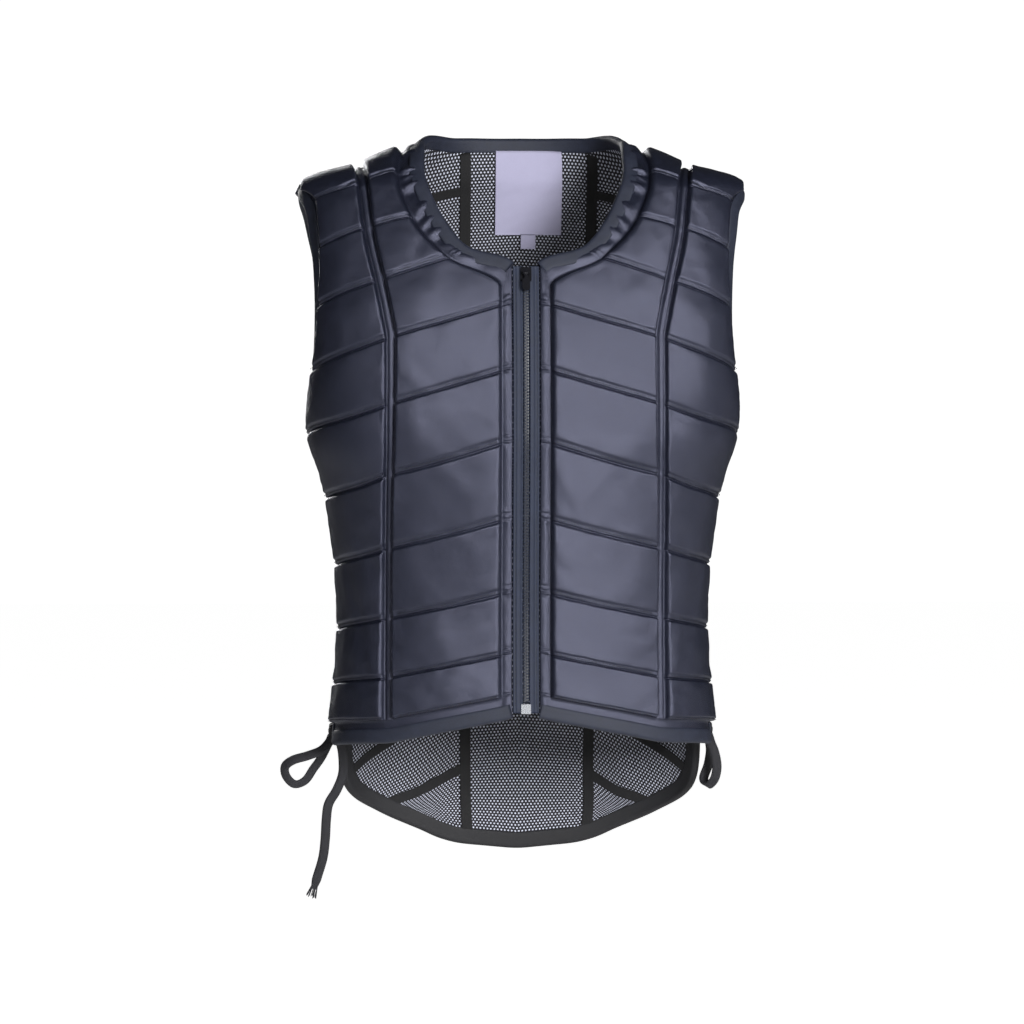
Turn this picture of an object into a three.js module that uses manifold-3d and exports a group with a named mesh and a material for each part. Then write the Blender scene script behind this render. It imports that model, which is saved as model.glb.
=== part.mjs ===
// A padded riding vest: two front panels and a back panel of quilted foam tiles, edged with binding,
// closed by a front zip and laced at both sides. Millimetres, +Z up, the front faces -Y.
// The origin lies between the shoulders, at the height where the straps rest on the wearer.
import * as THREE from "three";
import { mergeVertices } from "three/addons/utils/BufferGeometryUtils.js";
import Module from "manifold-3d";

const wasm = await Module();
wasm.setup();

// Overall sizes, inside the padding
const torsoLength = 587; // shoulder seat to the tip of the tail
const chestWidth = 344;
const frontDepth = 107; // shoulder line to the breastbone
const backDepth = 110; // shoulder line to the shoulder blades

// Padding and cloth
const foamThickness = 11; // over a tile
const clothThickness = 3; // in the grooves and along the edges
const crown = 0.8; // extra rise at the middle of a tile
const tileBevel = 3; // width of a tile's sloping wall
const gutterWidth = 8; // floor between two columns of tiles
const flangeWidth = 12; // flat border that the binding grips
const liningThickness = 1.2;
const tapeThickness = 0.8;
const seamTapeWidth = 10;
const labelWidth = 58;
const labelHeight = 70;
const labelThickness = 1;
const labelTabWidth = 13;
const labelTabHeight = 10;
const liningShift = 9; // the label and the lining's seams sit this far to the wearer's left
const gap = 0.4; // between pieces that touch

// Binding
const bindingWidth = 8; // how far it reaches over the cloth
const bindingThickness = 1.2;
const bindingPlay = 1.7; // between the cloth's edge and the fold
const bindingClearance = 1.4; // between the cloth's faces and the binding

// Zip
const zipHalfWidth = 11;
const zipGap = 2.6; // half of the space between the tapes
const zipTapeThickness = 1.2;
const toothHalfWidth = 2.3;
const toothThickness = 2.6;
const placketWidth = 9; // from the zip tape to the first tiles
const sliderWidth = 9;
const sliderLength = 12;
const sliderThickness = 3.4;
const pinRadius = 0.8;
const pinPlay = 0.35;
const lugWidth = 2.4;
const lugWall = 1.1;
const pullLength = 15;
const pullWidth = 6.4;
const pullThickness = 1.3;
const boxWidth = 8;
const boxLength = 8;
const boxThickness = 4;

// Side lacing
const laceWidth = 7.5;
const laceThickness = 3.5;
const laceRows = 5;
const laceLoopReach = 13;
const laceLoopWall = 1.3;
const lacePlay = 0.3; // between the lace and its loops, and between the lace's parts
const laceLoopDepth = laceThickness + 2 * (laceLoopWall + lacePlay);
const laceLoopHeight = 8;
const knotLength = 17;
const knotWidth = 14;
const knotDepth = 11;
const tasselLength = 17;

// Shape of the torso under the vest. Heights are shares of torsoLength, widths of half the chest width,
// front and back of their depths. square is how boxy the section is (2 is an ellipse).
const SECTIONS = [
  { height: -1.03, width: 0.93, front: 0.99, back: 0.964, square: 2.4 },
  { height: -0.92, width: 0.93, front: 0.981, back: 0.945, square: 2.4 },
  { height: -0.816, width: 0.913, front: 0.953, back: 0.909, square: 2.4 },
  { height: -0.744, width: 0.884, front: 0.916, back: 0.864, square: 2.4 },
  { height: -0.687, width: 0.863, front: 0.888, back: 0.827, square: 2.4 },
  { height: -0.629, width: 0.858, front: 0.879, back: 0.818, square: 2.4 },
  { height: -0.571, width: 0.866, front: 0.897, back: 0.836, square: 2.45 },
  { height: -0.497, width: 0.895, front: 0.935, back: 0.891, square: 2.55 },
  { height: -0.426, width: 0.939, front: 0.972, back: 0.945, square: 2.7 },
  { height: -0.368, width: 1, front: 1, back: 0.982, square: 2.9 },
  { height: -0.29, width: 1.017, front: 0.99, back: 1, square: 3.1 },
  { height: -0.204, width: 1.023, front: 0.935, back: 0.973, square: 3.1 },
  { height: -0.128, width: 1.047, front: 0.822, back: 0.9, square: 2.9 },
  { height: -0.068, width: 1.076, front: 0.69, back: 0.8, square: 2.7 },
  { height: -0.027, width: 1.07, front: 0.58, back: 0.7, square: 2.5 },
  { height: 0, width: 0.797, front: 0.505, back: 0.636, square: 2.4 },
  { height: 0.041, width: 0.494, front: 0.458, back: 0.605, square: 2.4 },
  { height: 0.075, width: 0.41, front: 0.46, back: 0.6, square: 2.4 },
];

// Seam lines of a front panel, numbered down from the shoulder seam. Each pair is [across, height]: across is
// a share of half the chest width, and for side a share of frontDepth. Row 0 lies on the shoulder ridge.
const zipEdge = zipHalfWidth + gap;
const firstTile = zipHalfWidth + placketWidth;
const FRONT_ROWS = [
  { row: 0, edge: [0.494, null], tile: [0.581, null], gutter: [0.79, null], side: [1.064, null] },
  { row: 1, edge: [0.5, 0], tile: [0.605, -0.01], gutter: [0.767, -0.024], side: [-0.28, -0.053] },
  { row: 2, edge: [0.459, -0.039], tile: [0.535, -0.07], gutter: [0.738, -0.085], side: [-0.41, -0.118] },
  { row: 3, edge: [0.29, -0.112], tile: [0.36, -0.126], gutter: [0.683, -0.158], side: [-0.467, -0.199] },
  { row: 3.6, edge: [0, -0.135], tile: [0, -0.164], gutter: [0.65, -0.204], side: [-0.45, -0.25] },
  { row: 4, edge: [0, -0.184], tile: [0, -0.191], gutter: [0.634, -0.235], side: [-0.4, -0.29] },
  { row: 4.5, edge: [0, -0.23], tile: [0, -0.236], gutter: [0.634, -0.281], side: [-0.28, -0.336] },
  { row: 5, edge: [0, -0.276], tile: [0, -0.281], gutter: [0.636, -0.326], side: [-0.075, -0.376] },
  { row: 10, edge: [0, -0.734], tile: [0, -0.739], gutter: [0.64, -0.774], side: [-0.056, -0.794] },
  { row: 11, edge: [0, -0.762], tile: [0, -0.766], gutter: [0.64, -0.8], side: [-0.09, -0.818] },
];

// Seam lines of half the back panel. centre, gutter and neck are across and height as above; side is a share
// of backDepth. From row 9 on, side runs along the tail.
const BACK_ROWS = [
  { row: 0, centre: [0, 0.052], gutter: [0.32, 0.05], neck: [0.494, null], side: [1.064, null] },
  { row: 1, centre: [0, -0.012], gutter: [0.32, -0.018], neck: [0.56, -0.035], side: [0.32, -0.068] },
  { row: 2, centre: [0, -0.107], gutter: [0.32, -0.113], neck: [0.6, -0.133], side: [0.47, -0.162] },
  { row: 3, centre: [0, -0.203], gutter: [0.32, -0.209], neck: [0.61, -0.233], side: [0.5, -0.264] },
  { row: 4, centre: [0, -0.299], gutter: [0.32, -0.305], neck: [0.61, -0.333], side: [0.41, -0.357] },
  { row: 4.5, centre: [0, -0.347], gutter: [0.32, -0.353], neck: [0.61, -0.383], side: [0.32, -0.395] },
  { row: 5, centre: [0, -0.394], gutter: [0.32, -0.4], neck: [0.61, -0.432], side: [0.31, -0.45] },
  { row: 8, centre: [0, -0.682], gutter: [0.32, -0.688], neck: [0.61, -0.729], side: [0.31, -0.767] },
  { row: 9, centre: [0, -0.778], gutter: [0.32, -0.784], neck: [0.6, -0.826], side: [0.41, -0.88] },
  { row: 10, centre: [0, -0.874], gutter: [0.32, -0.879], neck: [0.5, -0.912], side: [0.7, -0.933] },
  { row: 11, centre: [0, -0.978], gutter: [0.31, -0.969], neck: [0.42, -0.957], side: [0.817, -0.955] },
  { row: 12, centre: [0, -0.998], gutter: [0.3, -0.989], neck: [0.41, -0.979], side: [0.87, -0.9675] },
];
const grooveShare = 0.07; // of a row's height, from the seam to the flat of the tile
const neckShare = 0.36; // the same in the back's first row, which leaves room for the neck binding
const roundedRows = 5; // rows above this one curve over the shoulder and take a middle line
const tailRows = 8; // and so do the rows from this one on, where the back's side edge turns inwards

// Vectors as plain arrays
const add = (a, b, k = 1) => a.map((v, i) => v + b[i] * k);
const sub = (a, b) => add(a, b, -1);
const mix = (a, b, t) => a.map((v, i) => v + (b[i] - v) * t);
const dot = (a, b) => a[0] * b[0] + a[1] * b[1] + a[2] * b[2];
const length = (a) => Math.sqrt(dot(a, a));
const unit = (a) => a.map((v) => v / length(a));
const cross = (a, b) => [a[1] * b[2] - a[2] * b[1], a[2] * b[0] - a[0] * b[2], a[0] * b[1] - a[1] * b[0]];

// A smooth curve through knots [t, value] that never overshoots them.
function smoothCurve(knots) {
  const slope = knots.slice(1).map((k, i) => (k[1] - knots[i][1]) / (k[0] - knots[i][0]));
  const tangent = knots.map((_, i) => {
    if (i === 0) return slope[0];
    if (i === slope.length) return slope[i - 1];
    const [a, b] = [slope[i - 1], slope[i]];
    return a * b <= 0 ? 0 : (2 * a * b) / (a + b);
  });
  return (t) => {
    let i = 0;
    while (i < slope.length - 1 && t > knots[i + 1][0]) i += 1;
    const span = knots[i + 1][0] - knots[i][0];
    const s = (t - knots[i][0]) / span;
    const rise = s * s * (3 - 2 * s);
    return (
      knots[i][1] * (1 - rise) +
      knots[i + 1][1] * rise +
      span * (tangent[i] * s * (1 - s) * (1 - s) - tangent[i + 1] * s * s * (1 - s))
    );
  };
}

const sectionCurve = (name, scale) =>
  smoothCurve(SECTIONS.map((r) => [r.height * torsoLength, r[name] * scale]));
const halfWidthAt = sectionCurve("width", chestWidth / 2);
const frontAt = sectionCurve("front", frontDepth);
const backAt = sectionCurve("back", backDepth);
const squareAt = sectionCurve("square", 1);

// Zero on the torso, positive outside it.
function outside([x, y, z]) {
  const depth = y < 0 ? frontAt(z) : backAt(z);
  const n = squareAt(z);
  return (Math.abs(x) / halfWidthAt(z)) ** n + (Math.abs(y) / depth) ** n - 1;
}

function gradient(p) {
  const step = 0.01;
  return [0, 1, 2].map((i) => {
    const d = [0, 0, 0];
    d[i] = step;
    return (outside(add(p, d)) - outside(sub(p, d))) / (2 * step);
  });
}

const normalAt = (p) => unit(gradient(p));

// The nearest point of the torso, found along the surface's own slope.
function settle(p) {
  let q = p;
  for (let i = 0; i < 12; i += 1) {
    const g = gradient(q);
    q = add(q, g, -outside(q) / dot(g, g));
  }
  return q;
}

const seamHalfGap = gap / 2;
const ridgeTop = 0.075 * torsoLength;
const ridgeFoot = -0.027 * torsoLength;

// A point of the shoulder ridge at x, on the front (-1) or back (1) side of its seam.
function ridgePoint(x, facing) {
  let [low, high] = [ridgeFoot, ridgeTop];
  for (let i = 0; i < 40; i += 1) {
    const middle = (low + high) / 2;
    if (halfWidthAt(middle) > x) low = middle;
    else high = middle;
  }
  return [x, facing * seamHalfGap, low];
}

function acrossPoint(x, z, facing) {
  const n = squareAt(z);
  const depth = facing < 0 ? frontAt(z) : backAt(z);
  return [x, facing * depth * (1 - Math.abs(x / halfWidthAt(z)) ** n) ** (1 / n), z];
}

function sidePoint(y, z) {
  const n = squareAt(z);
  const depth = y < 0 ? frontAt(z) : backAt(z);
  return [halfWidthAt(z) * (1 - Math.abs(y / depth) ** n) ** (1 / n), y, z];
}

// The seam lines of a table as functions of the row number.
function seamLine(rows, name, facing, least = 0) {
  const across = (r) => Math.max((r[name][0] * chestWidth) / 2, least);
  const onSide = name === "side";
  const depth = facing < 0 ? frontDepth : backDepth;
  const ridge = ridgePoint(across(rows[0]), facing);
  const start = rows[0][name][1] === null ? ridge : null;
  const value = (r, i) => {
    if (r === rows[0] && start) return i === 0 ? (onSide ? start[1] : start[0]) : start[2];
    if (i === 1) return r[name][1] * torsoLength;
    return onSide ? r[name][0] * depth : across(r);
  };
  const [a, b] = [0, 1].map((i) => smoothCurve(rows.map((r) => [r.row, value(r, i)])));
  return (v) => {
    if (v === 0 && start) return start;
    return onSide ? sidePoint(a(v), b(v)) : acrossPoint(a(v), b(v), facing);
  };
}

const frontEdge = seamLine(FRONT_ROWS, "edge", -1, zipEdge);
const frontTile = seamLine(FRONT_ROWS, "tile", -1, firstTile);
const frontGutter = seamLine(FRONT_ROWS, "gutter", -1);
const frontSide = seamLine(FRONT_ROWS, "side", -1);
const backCentre = seamLine(BACK_ROWS, "centre", 1);
const backGutter = seamLine(BACK_ROWS, "gutter", 1);
const backNeck = seamLine(BACK_ROWS, "neck", 1);
const backSide = seamLine(BACK_ROWS, "side", 1);

// A point a share of the way from a to b, or d mm from a when steps is set, brought back to the torso.
const towards = (a, b, d) => settle(mix(a, b, d / length(sub(b, a))));
const between = (a, b, t) => settle(mix(a, b, t));

// Lines across a front panel at row v, from the zip or neck edge to the side. top marks the raised ones.
function frontLines(v) {
  const [edge, tile, gutter, side] = [frontEdge, frontTile, frontGutter, frontSide].map((f) => f(v));
  const half = gutterWidth / 2;
  return [
    { at: edge, top: 0 },
    { at: tile, top: 0 },
    { at: towards(tile, gutter, tileBevel), top: 1 },
    { at: between(tile, gutter, 0.5), top: 1, middle: 1 },
    { at: towards(gutter, tile, half + tileBevel), top: 1 },
    { at: towards(gutter, tile, half), top: 0 },
    { at: towards(gutter, side, half), top: 0 },
    { at: towards(gutter, side, half + tileBevel), top: 1 },
    { at: between(gutter, side, 0.5), top: 1, middle: 1 },
    { at: towards(side, gutter, flangeWidth + tileBevel), top: 1 },
    { at: towards(side, gutter, flangeWidth), top: 0 },
    { at: side, top: 0 },
  ];
}

// Lines across the back panel at row v, from the centre to the side on the +X half.
function backHalfLines(v) {
  const [centre, gutter, neck, side] = [backCentre, backGutter, backNeck, backSide].map((f) => f(v));
  const half = gutterWidth / 2;
  return [
    { at: centre, top: 1, middle: 1 },
    { at: towards(gutter, centre, half + tileBevel), top: 1 },
    { at: towards(gutter, centre, half), top: 0 },
    { at: towards(gutter, neck, half), top: 0 },
    { at: towards(gutter, neck, half + tileBevel), top: 1 },
    { at: between(gutter, neck, 0.6), top: 1, middle: 1 },
    { at: neck, top: 1, middle: 1 },
    { at: between(neck, side, 0.5), top: 1, middle: 1 },
    { at: towards(side, neck, flangeWidth + tileBevel), top: 1 },
    { at: towards(side, neck, flangeWidth), top: 0 },
    { at: side, top: 0 },
  ];
}

const mirrorPoint = ([x, y, z]) => [-x, y, z];

function backLines(v) {
  const half = backHalfLines(v);
  const other = half.slice(1).map((l) => ({ ...l, at: mirrorPoint(l.at) }));
  return [...other.reverse(), ...half];
}

// Row numbers of a panel with tiles down to lastRow and a hem below. Coarse rows are enough for a smooth face.
function panelRows(lastRow, middleOf, firstShare) {
  const rows = [];
  for (let r = 0; r < lastRow; r += 1) {
    rows.push({ v: r, top: 0, coarse: true });
    if (r === 0 && firstShare > grooveShare) rows.push({ v: firstShare - grooveShare, top: 0, coarse: true });
    rows.push({ v: r + (r ? grooveShare : firstShare), top: 1 });
    if (r === 0) rows.push({ v: 0.5 * (firstShare + 0.5), top: 1, coarse: true });
    if (middleOf(r)) rows.push({ v: middleOf(r), top: 1, coarse: true });
    rows.push({ v: r + 1 - grooveShare, top: 1 });
  }
  rows.push({ v: lastRow, top: 0, coarse: true });
  rows.push({ v: lastRow + 1, top: 0, coarse: true });
  return rows;
}

const neckCornerRow = 3.6;
const middleRow = (r) => r + 0.5;
const frontMiddle = (r) => (r === 3 ? neckCornerRow : r < roundedRows && middleRow(r));
const backMiddle = (r) => (r < roundedRows || r >= tailRows) && middleRow(r);
const frontRows = panelRows(10, frontMiddle, grooveShare);
const backRows = panelRows(11, backMiddle, neckShare);

// A closed body from triangles of points, turned to face outwards.
function bodyOf(triangles) {
  const geometry = new THREE.BufferGeometry();
  let volume = 0;
  triangles.forEach(([a, b, c]) => {
    volume += dot(a, cross(b, c));
  });
  const ordered = volume < 0 ? triangles.map(([a, b, c]) => [a, c, b]) : triangles;
  geometry.setAttribute("position", new THREE.BufferAttribute(new Float32Array(ordered.flat(2)), 3));
  return mergeVertices(geometry, 1e-4);
}

const quad = (a, b, c, d) => [
  [a, b, c],
  [a, c, d],
];

// A wall between two faces given as rows of points. The inner face keeps only the rows in kept.
// alike gives both faces the same diagonals, for a thin layer that lies under another inner face.
function shell(outer, inner, kept, alike = false) {
  const triangles = [];
  const last = outer[0].length - 1;
  for (let j = 0; j < outer.length - 1; j += 1)
    for (let i = 0; i < last; i += 1) {
      const corners = [outer[j][i], outer[j][i + 1], outer[j + 1][i + 1], outer[j + 1][i]];
      const [a, b, c, d] = alike ? [...corners.slice(1), corners[0]] : corners;
      triangles.push(...quad(a, b, c, d));
    }
  for (let k = 0; k < kept.length - 1; k += 1) {
    const [a, b] = [kept[k], kept[k + 1]];
    for (let i = 0; i < last; i += 1)
      triangles.push(...quad(inner[a][i + 1], inner[a][i], inner[b][i], inner[b][i + 1]));
    for (let j = a; j < b; j += 1) {
      triangles.push([outer[j][0], outer[j + 1][0], inner[a][0]]);
      triangles.push([outer[j + 1][last], outer[j][last], inner[a][last]]);
    }
    triangles.push([outer[b][0], inner[b][0], inner[a][0]]);
    triangles.push([inner[b][last], outer[b][last], inner[a][last]]);
  }
  for (let i = 0; i < last; i += 1) {
    triangles.push(...quad(outer[0][i + 1], outer[0][i], inner[0][i], inner[0][i + 1]));
    const end = outer.length - 1;
    triangles.push(...quad(outer[end][i], outer[end][i + 1], inner[end][i + 1], inner[end][i]));
  }
  return bodyOf(triangles);
}

const lift = (p, d) => add(p, normalAt(p), d);

// The outer and inner faces of a quilted panel.
function paddedFaces(rows, linesAt) {
  const grid = rows.map((r) => linesAt(r.v));
  const outer = grid.map((lines, j) =>
    lines.map((l) => {
      const raised = l.top && rows[j].top;
      const rise = raised ? foamThickness + (l.middle ? crown : 0) : clothThickness;
      return lift(l.at, rise);
    }),
  );
  const inner = grid.map((lines) => lines.map((l) => l.at));
  const kept = rows.flatMap((r, j) => (r.coarse ? [j] : []));
  straighten(grid, rows, kept, outer);
  return { outer, inner, kept };
}

// Keeps the flat border straight between coarse rows, as the inner face and the binding are.
function straighten(grid, rows, kept, outer) {
  const last = grid[0].length - 1;
  rows.forEach((r, j) => {
    if (r.coarse) return;
    const b = kept.find((k) => k > j);
    const a = kept[kept.indexOf(b) - 1];
    const t = (r.v - rows[a].v) / (rows[b].v - rows[a].v);
    [0, 1, last - 1, last].forEach((i) => {
      if (!grid[j][i].top) outer[j][i] = mix(outer[a][i], outer[b][i], t);
    });
  });
}

const front = paddedFaces(frontRows, frontLines);
const back = paddedFaces(backRows, backLines);

// Materials
const finish = (color, roughness, metalness = 0) => new THREE.MeshStandardMaterial({ color, roughness, metalness });
const nylon = finish(0x33374a, 0.45);
const edging = finish(0x2a2f3d, 0.6);
const mesh = finish(0x33343e, 0.9);
const seamTape = finish(0x08080a, 0.8);
const labelCloth = finish(0xb5b2c8, 0.8);
const zipCloth = finish(0x2a3248, 0.7);
const zipPlastic = finish(0x23283a, 0.5);
const darkMetal = finish(0x101114, 0.35, 0.8);
const brightMetal = finish(0xc8ccd6, 0.3, 1);
const braid = finish(0x0d0e12, 0.75);

const vest = new THREE.Group();
const vestPiece = (name, geometry, material) => {
  const piece = new THREE.Mesh(geometry, material);
  piece.name = name;
  vest.add(piece);
  return piece;
};

// Builds a piece for the wearer's left (+X) and its mirror image for the right.
function bothSides(name, trianglesOf, material) {
  [
    ["left", (p) => p],
    ["right", mirrorPoint],
  ].forEach(([side, place]) => vestPiece(`${name}_${side}`, trianglesOf(place), material));
}

const placed = (rows, place) => rows.map((row) => row.map(place));

// Lining of the back: a thin wall inside the panel, on the panel's own coarse rows.
const liningTop = -1.3;
const liningLines = [0, 3, 4, 6, 8, 10, 12, 14, 16, 17, 20];
const liningGrid = back.kept.map((j) => liningLines.map((i) => back.inner[j][i]));
const liningInset = 4; // from the panel's edge
function insetGrid(grid, d) {
  const pull = (a, b) => mix(a, b, d / length(sub(b, a)));
  const last = grid.length - 1;
  const narrowed = grid.map((row) => {
    const n = row.length - 1;
    return row.map((p, i) => (i === 0 ? pull(p, row[1]) : i === n ? pull(p, row[n - 1]) : p));
  });
  return narrowed.map((row, j) =>
    row.map((p, i) => {
      if (j === 0) return pull(p, narrowed[1][i]);
      return j === last ? pull(p, narrowed[last - 1][i]) : p;
    }),
  );
}
const liningBase = insetGrid(liningGrid, bindingWidth + liningInset);
const allRows = (grid) => grid.map((_, j) => j);
const layer = (grid, from, to) =>
  shell(
    grid.map((row) => row.map((p) => lift(p, from))),
    grid.map((row) => row.map((p) => lift(p, to))),
    allRows(grid),
    true,
  );
const wholeLining = layer(liningBase, liningTop, liningTop - liningThickness);

// Black tape over the lining's seams: one net on each side, a column tape with a tape for each row.
const tapeTop = liningTop - liningThickness - gap;
function tapeNet(place, shift) {
  const half = seamTapeWidth / 2;
  const rowShare = 0.09;
  const levels = [0.22];
  for (let r = 1; r <= 10; r += 1) levels.push(r - rowShare, r + rowShare);
  levels.push(11.1);
  const points = levels.map((v) => {
    const [centre, gutter, neck, side] = [backCentre, backGutter, backNeck, backSide].map((f) => f(v));
    const seam = towards(gutter, shift > 0 ? neck : centre, Math.abs(shift));
    const end = towards(side, neck, bindingWidth + liningInset + 3);
    return [towards(seam, centre, half), towards(seam, neck, half), between(seam, end, 0.55), end];
  });
  const face = (d) => points.map((row) => row.map((p) => place(lift(p, d))));
  const inward = tapeTop - 4.8; // clear of the lining's flat facets
  const [outer, inner] = [face(inward), face(inward - tapeThickness)];
  const filled = (j, i) => i === 0 || (j % 2 === 1 && i >= 1);
  const has = (j, i) => j >= 0 && i >= 0 && j < levels.length - 1 && i < 3 && filled(j, i);
  const triangles = [];
  for (let j = 0; j < levels.length - 1; j += 1)
    for (let i = 0; i < 3; i += 1) {
      if (!has(j, i)) continue;
      const corners = [
        [j, i],
        [j, i + 1],
        [j + 1, i + 1],
        [j + 1, i],
      ];
      const [o, n] = [outer, inner].map((g) => corners.map(([a, b]) => g[a][b]));
      triangles.push(...quad(...o), ...quad(n[3], n[2], n[1], n[0]));
      const open = [!has(j - 1, i), !has(j, i + 1), !has(j + 1, i), !has(j, i - 1)];
      open.forEach((bare, e) => {
        const f = (e + 1) % 4;
        if (bare) triangles.push(...quad(o[f], o[e], n[e], n[f]));
      });
    }
  return bodyOf(triangles);
}
vestPiece("lining_tape_left", tapeNet((p) => p, liningShift), seamTape);
vestPiece("lining_tape_right", tapeNet(mirrorPoint, -liningShift), seamTape);

// Blank label with a small tab, hanging from the back of the neck in front of the lining.
function labelPlate() {
  const top = backCentre(0)[2] - bindingWidth;
  const halfW = labelWidth / 2;
  const steps = [0, 0.35, 0.7, 1];
  const xs = [-halfW, -labelTabWidth / 2, labelTabWidth / 2, halfW];
  const inward = 6.6; // in front of the lining and its facets
  const at = (x, z) => acrossPoint(x, z, 1);
  const rows = steps.map((t) => xs.map((x) => at(x, top - t * labelHeight)));
  const tab = xs.slice(1, 3).map((x) => at(x, top - labelHeight - labelTabHeight));
  const place = (p, d) => add(lift(p, d), [liningShift, 0, 0]);
  const outer = (p) => place(p, -inward);
  const inner = (p) => place(p, -inward - labelThickness);
  const triangles = [];
  const patch = (a, b, c, d, edges) => {
    triangles.push(...quad(outer(a), outer(b), outer(c), outer(d)), ...quad(inner(d), inner(c), inner(b), inner(a)));
    const ring = [a, b, c, d];
    edges.forEach((e) => {
      const [p, q] = [ring[e], ring[(e + 1) % 4]];
      triangles.push(...quad(outer(q), outer(p), inner(p), inner(q)));
    });
  };
  for (let j = 0; j < 3; j += 1)
    for (let i = 0; i < 3; i += 1) {
      const edges = [];
      if (j === 0) edges.push(0);
      if (i === 2) edges.push(1);
      if (j === 2 && i !== 1) edges.push(2);
      if (i === 0) edges.push(3);
      patch(rows[j][i], rows[j][i + 1], rows[j + 1][i + 1], rows[j + 1][i], edges);
    }
  patch(rows[3][1], rows[3][2], tab[1], tab[0], [1, 2, 3]);
  return bodyOf(triangles);
}
vestPiece("neck_label", labelPlate(), labelCloth);

// Binding: a strip folded round the cloth's edge. A station holds the edge's outer and inner corners, the
// way into the cloth along each face, the way out of the surface, and how much longer it is at a corner.
function station(faces, j, i, others, reach = 1) {
  const into = (face) => {
    const ways = others.map(([row, column]) => unit(sub(face[row][column], face[j][i])));
    return unit(ways.reduce((a, b) => add(a, b)));
  };
  const [outerEdge, innerEdge] = [faces.outer[j][i], faces.inner[j][i]];
  const out = unit(sub(outerEdge, innerEdge));
  return { outerEdge, innerEdge, outerInto: into(faces.outer), innerInto: into(faces.inner), out, reach };
}

function foldSection({ outerEdge, innerEdge, outerInto, innerInto, out, reach }, clearance, thickness) {
  const leg = bindingWidth * reach;
  const clear = -bindingPlay * reach;
  const fold = -(bindingPlay + bindingThickness) * reach;
  const outerPoint = (along, up) => add(add(outerEdge, outerInto, along), out, up);
  const innerPoint = (along, up) => add(add(innerEdge, innerInto, along), out, -up);
  const over = bindingClearance + thickness;
  return [
    outerPoint(leg, over),
    outerPoint(fold, over),
    innerPoint(fold, over),
    innerPoint(leg, over),
    innerPoint(leg, clearance),
    innerPoint(clear, clearance),
    outerPoint(clear, clearance),
    outerPoint(leg, clearance),
  ];
}

function bindingStrip(stations, clearance = bindingClearance, thickness = bindingThickness) {
  const rings = stations.map((s) => foldSection(s, clearance, thickness));
  const triangles = [];
  for (let k = 0; k < rings.length - 1; k += 1)
    for (let i = 0; i < 8; i += 1) {
      const n = (i + 1) % 8;
      const corners = [rings[k][i], rings[k][n], rings[k + 1][n], rings[k + 1][i]];
      const facing = i === 4 || i === 6; // these two lie against the panel and take its diagonals
      const [a, b, c, d] = facing && stations[k].turned ? [...corners.slice(1), corners[0]] : corners;
      triangles.push(...quad(a, b, c, d));
    }
  const cap = (r) => [...quad(r[0], r[7], r[6], r[1]), ...quad(r[1], r[6], r[5], r[2]), ...quad(r[2], r[5], r[4], r[3])];
  const end = cap(rings[rings.length - 1]).map(([a, b, c]) => [a, c, b]);
  return bodyOf([...cap(rings[0]), ...end, ...triangles]);
}

// Stations along a grid line of a panel, from the panel's own points.
const columnStation = (faces, j, i, inward) => station(faces, j, i, [[j, inward]]);
const rowStation = (faces, j, i, inward) => station(faces, j, i, [[inward, i]]);
const mitre = 1.35;
const cornerStation = (faces, j, i, row, column) => station(faces, j, i, [[row, i], [j, column]], mitre);
const shifted = (s, along) => ({ ...s, outerEdge: add(s.outerEdge, along), innerEdge: add(s.innerEdge, along) });

const frontLast = front.outer[0].length - 1;
const backLast = back.outer[0].length - 1;
const hemRow = front.outer.length - 1;
const tailRow = back.outer.length - 1;
const rowIndex = (rows, v) => rows.findIndex((r) => Math.abs(r.v - v) < 1e-9);
const armpitFront = rowIndex(frontRows, 5);
const armpitBack = rowIndex(backRows, 4.5);
const neckFoot = rowIndex(frontRows, neckCornerRow);

const frontKept = (from, to) => front.kept.filter((j) => j >= from && j <= to);
const backKept = (from, to) => back.kept.filter((j) => j >= from && j <= to);
const placedStation = (s, place) => ({
  outerEdge: place(s.outerEdge),
  innerEdge: place(s.innerEdge),
  outerInto: place(s.outerInto),
  innerInto: place(s.innerInto),
  out: place(s.out),
  reach: s.reach,
  turned: s.turned,
});
const turnedTo = (stations, turned) => stations.map((s) => ({ ...s, turned }));

// Moves the end station of a run back along the run, so that the next strip starts a gap away.
function trimmed(stations, atStart, d) {
  const [end, next] = atStart ? [0, 1] : [stations.length - 1, stations.length - 2];
  const along = unit(sub(stations[next].innerEdge, stations[end].innerEdge));
  return stations.map((s, k) => (k === end ? shifted(s, along.map((v) => v * d)) : s));
}

const hemStations = [];
for (let i = 0; i < frontLast; i += 1) hemStations.push(rowStation(front, hemRow, i, hemRow - 1));
hemStations.push(cornerStation(front, hemRow, frontLast, hemRow - 1, frontLast - 1));
const sideStations = frontKept(armpitFront, hemRow - 1)
  .reverse()
  .map((j) => columnStation(front, j, frontLast, frontLast - 1));
const hemCorner = hemStations.pop();
const hemRun = trimmed([...turnedTo(hemStations, true), hemCorner, ...sideStations], false, gap);

const armholeFront = frontKept(0, armpitFront)
  .reverse()
  .map((j) => columnStation(front, j, frontLast, frontLast - 1));
const armholeBack = backKept(0, armpitBack).map((j) => columnStation(back, j, backLast, backLast - 1));
const seamBridge = (a, b) => {
  const middle = (p, q) => mix(p, q, 0.5);
  return { ...a, outerEdge: middle(a.outerEdge, b.outerEdge), innerEdge: middle(a.innerEdge, b.innerEdge) };
};
const armholeOver = (turned) => [
  ...armholeFront.slice(0, -1),
  ...turnedTo([seamBridge(armholeFront[armholeFront.length - 1], armholeBack[0]), ...armholeBack.slice(1)], turned),
];
const armholeRuns = { left: armholeOver(false), right: armholeOver(false).map((s) => placedStation(s, mirrorPoint)) };

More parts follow.
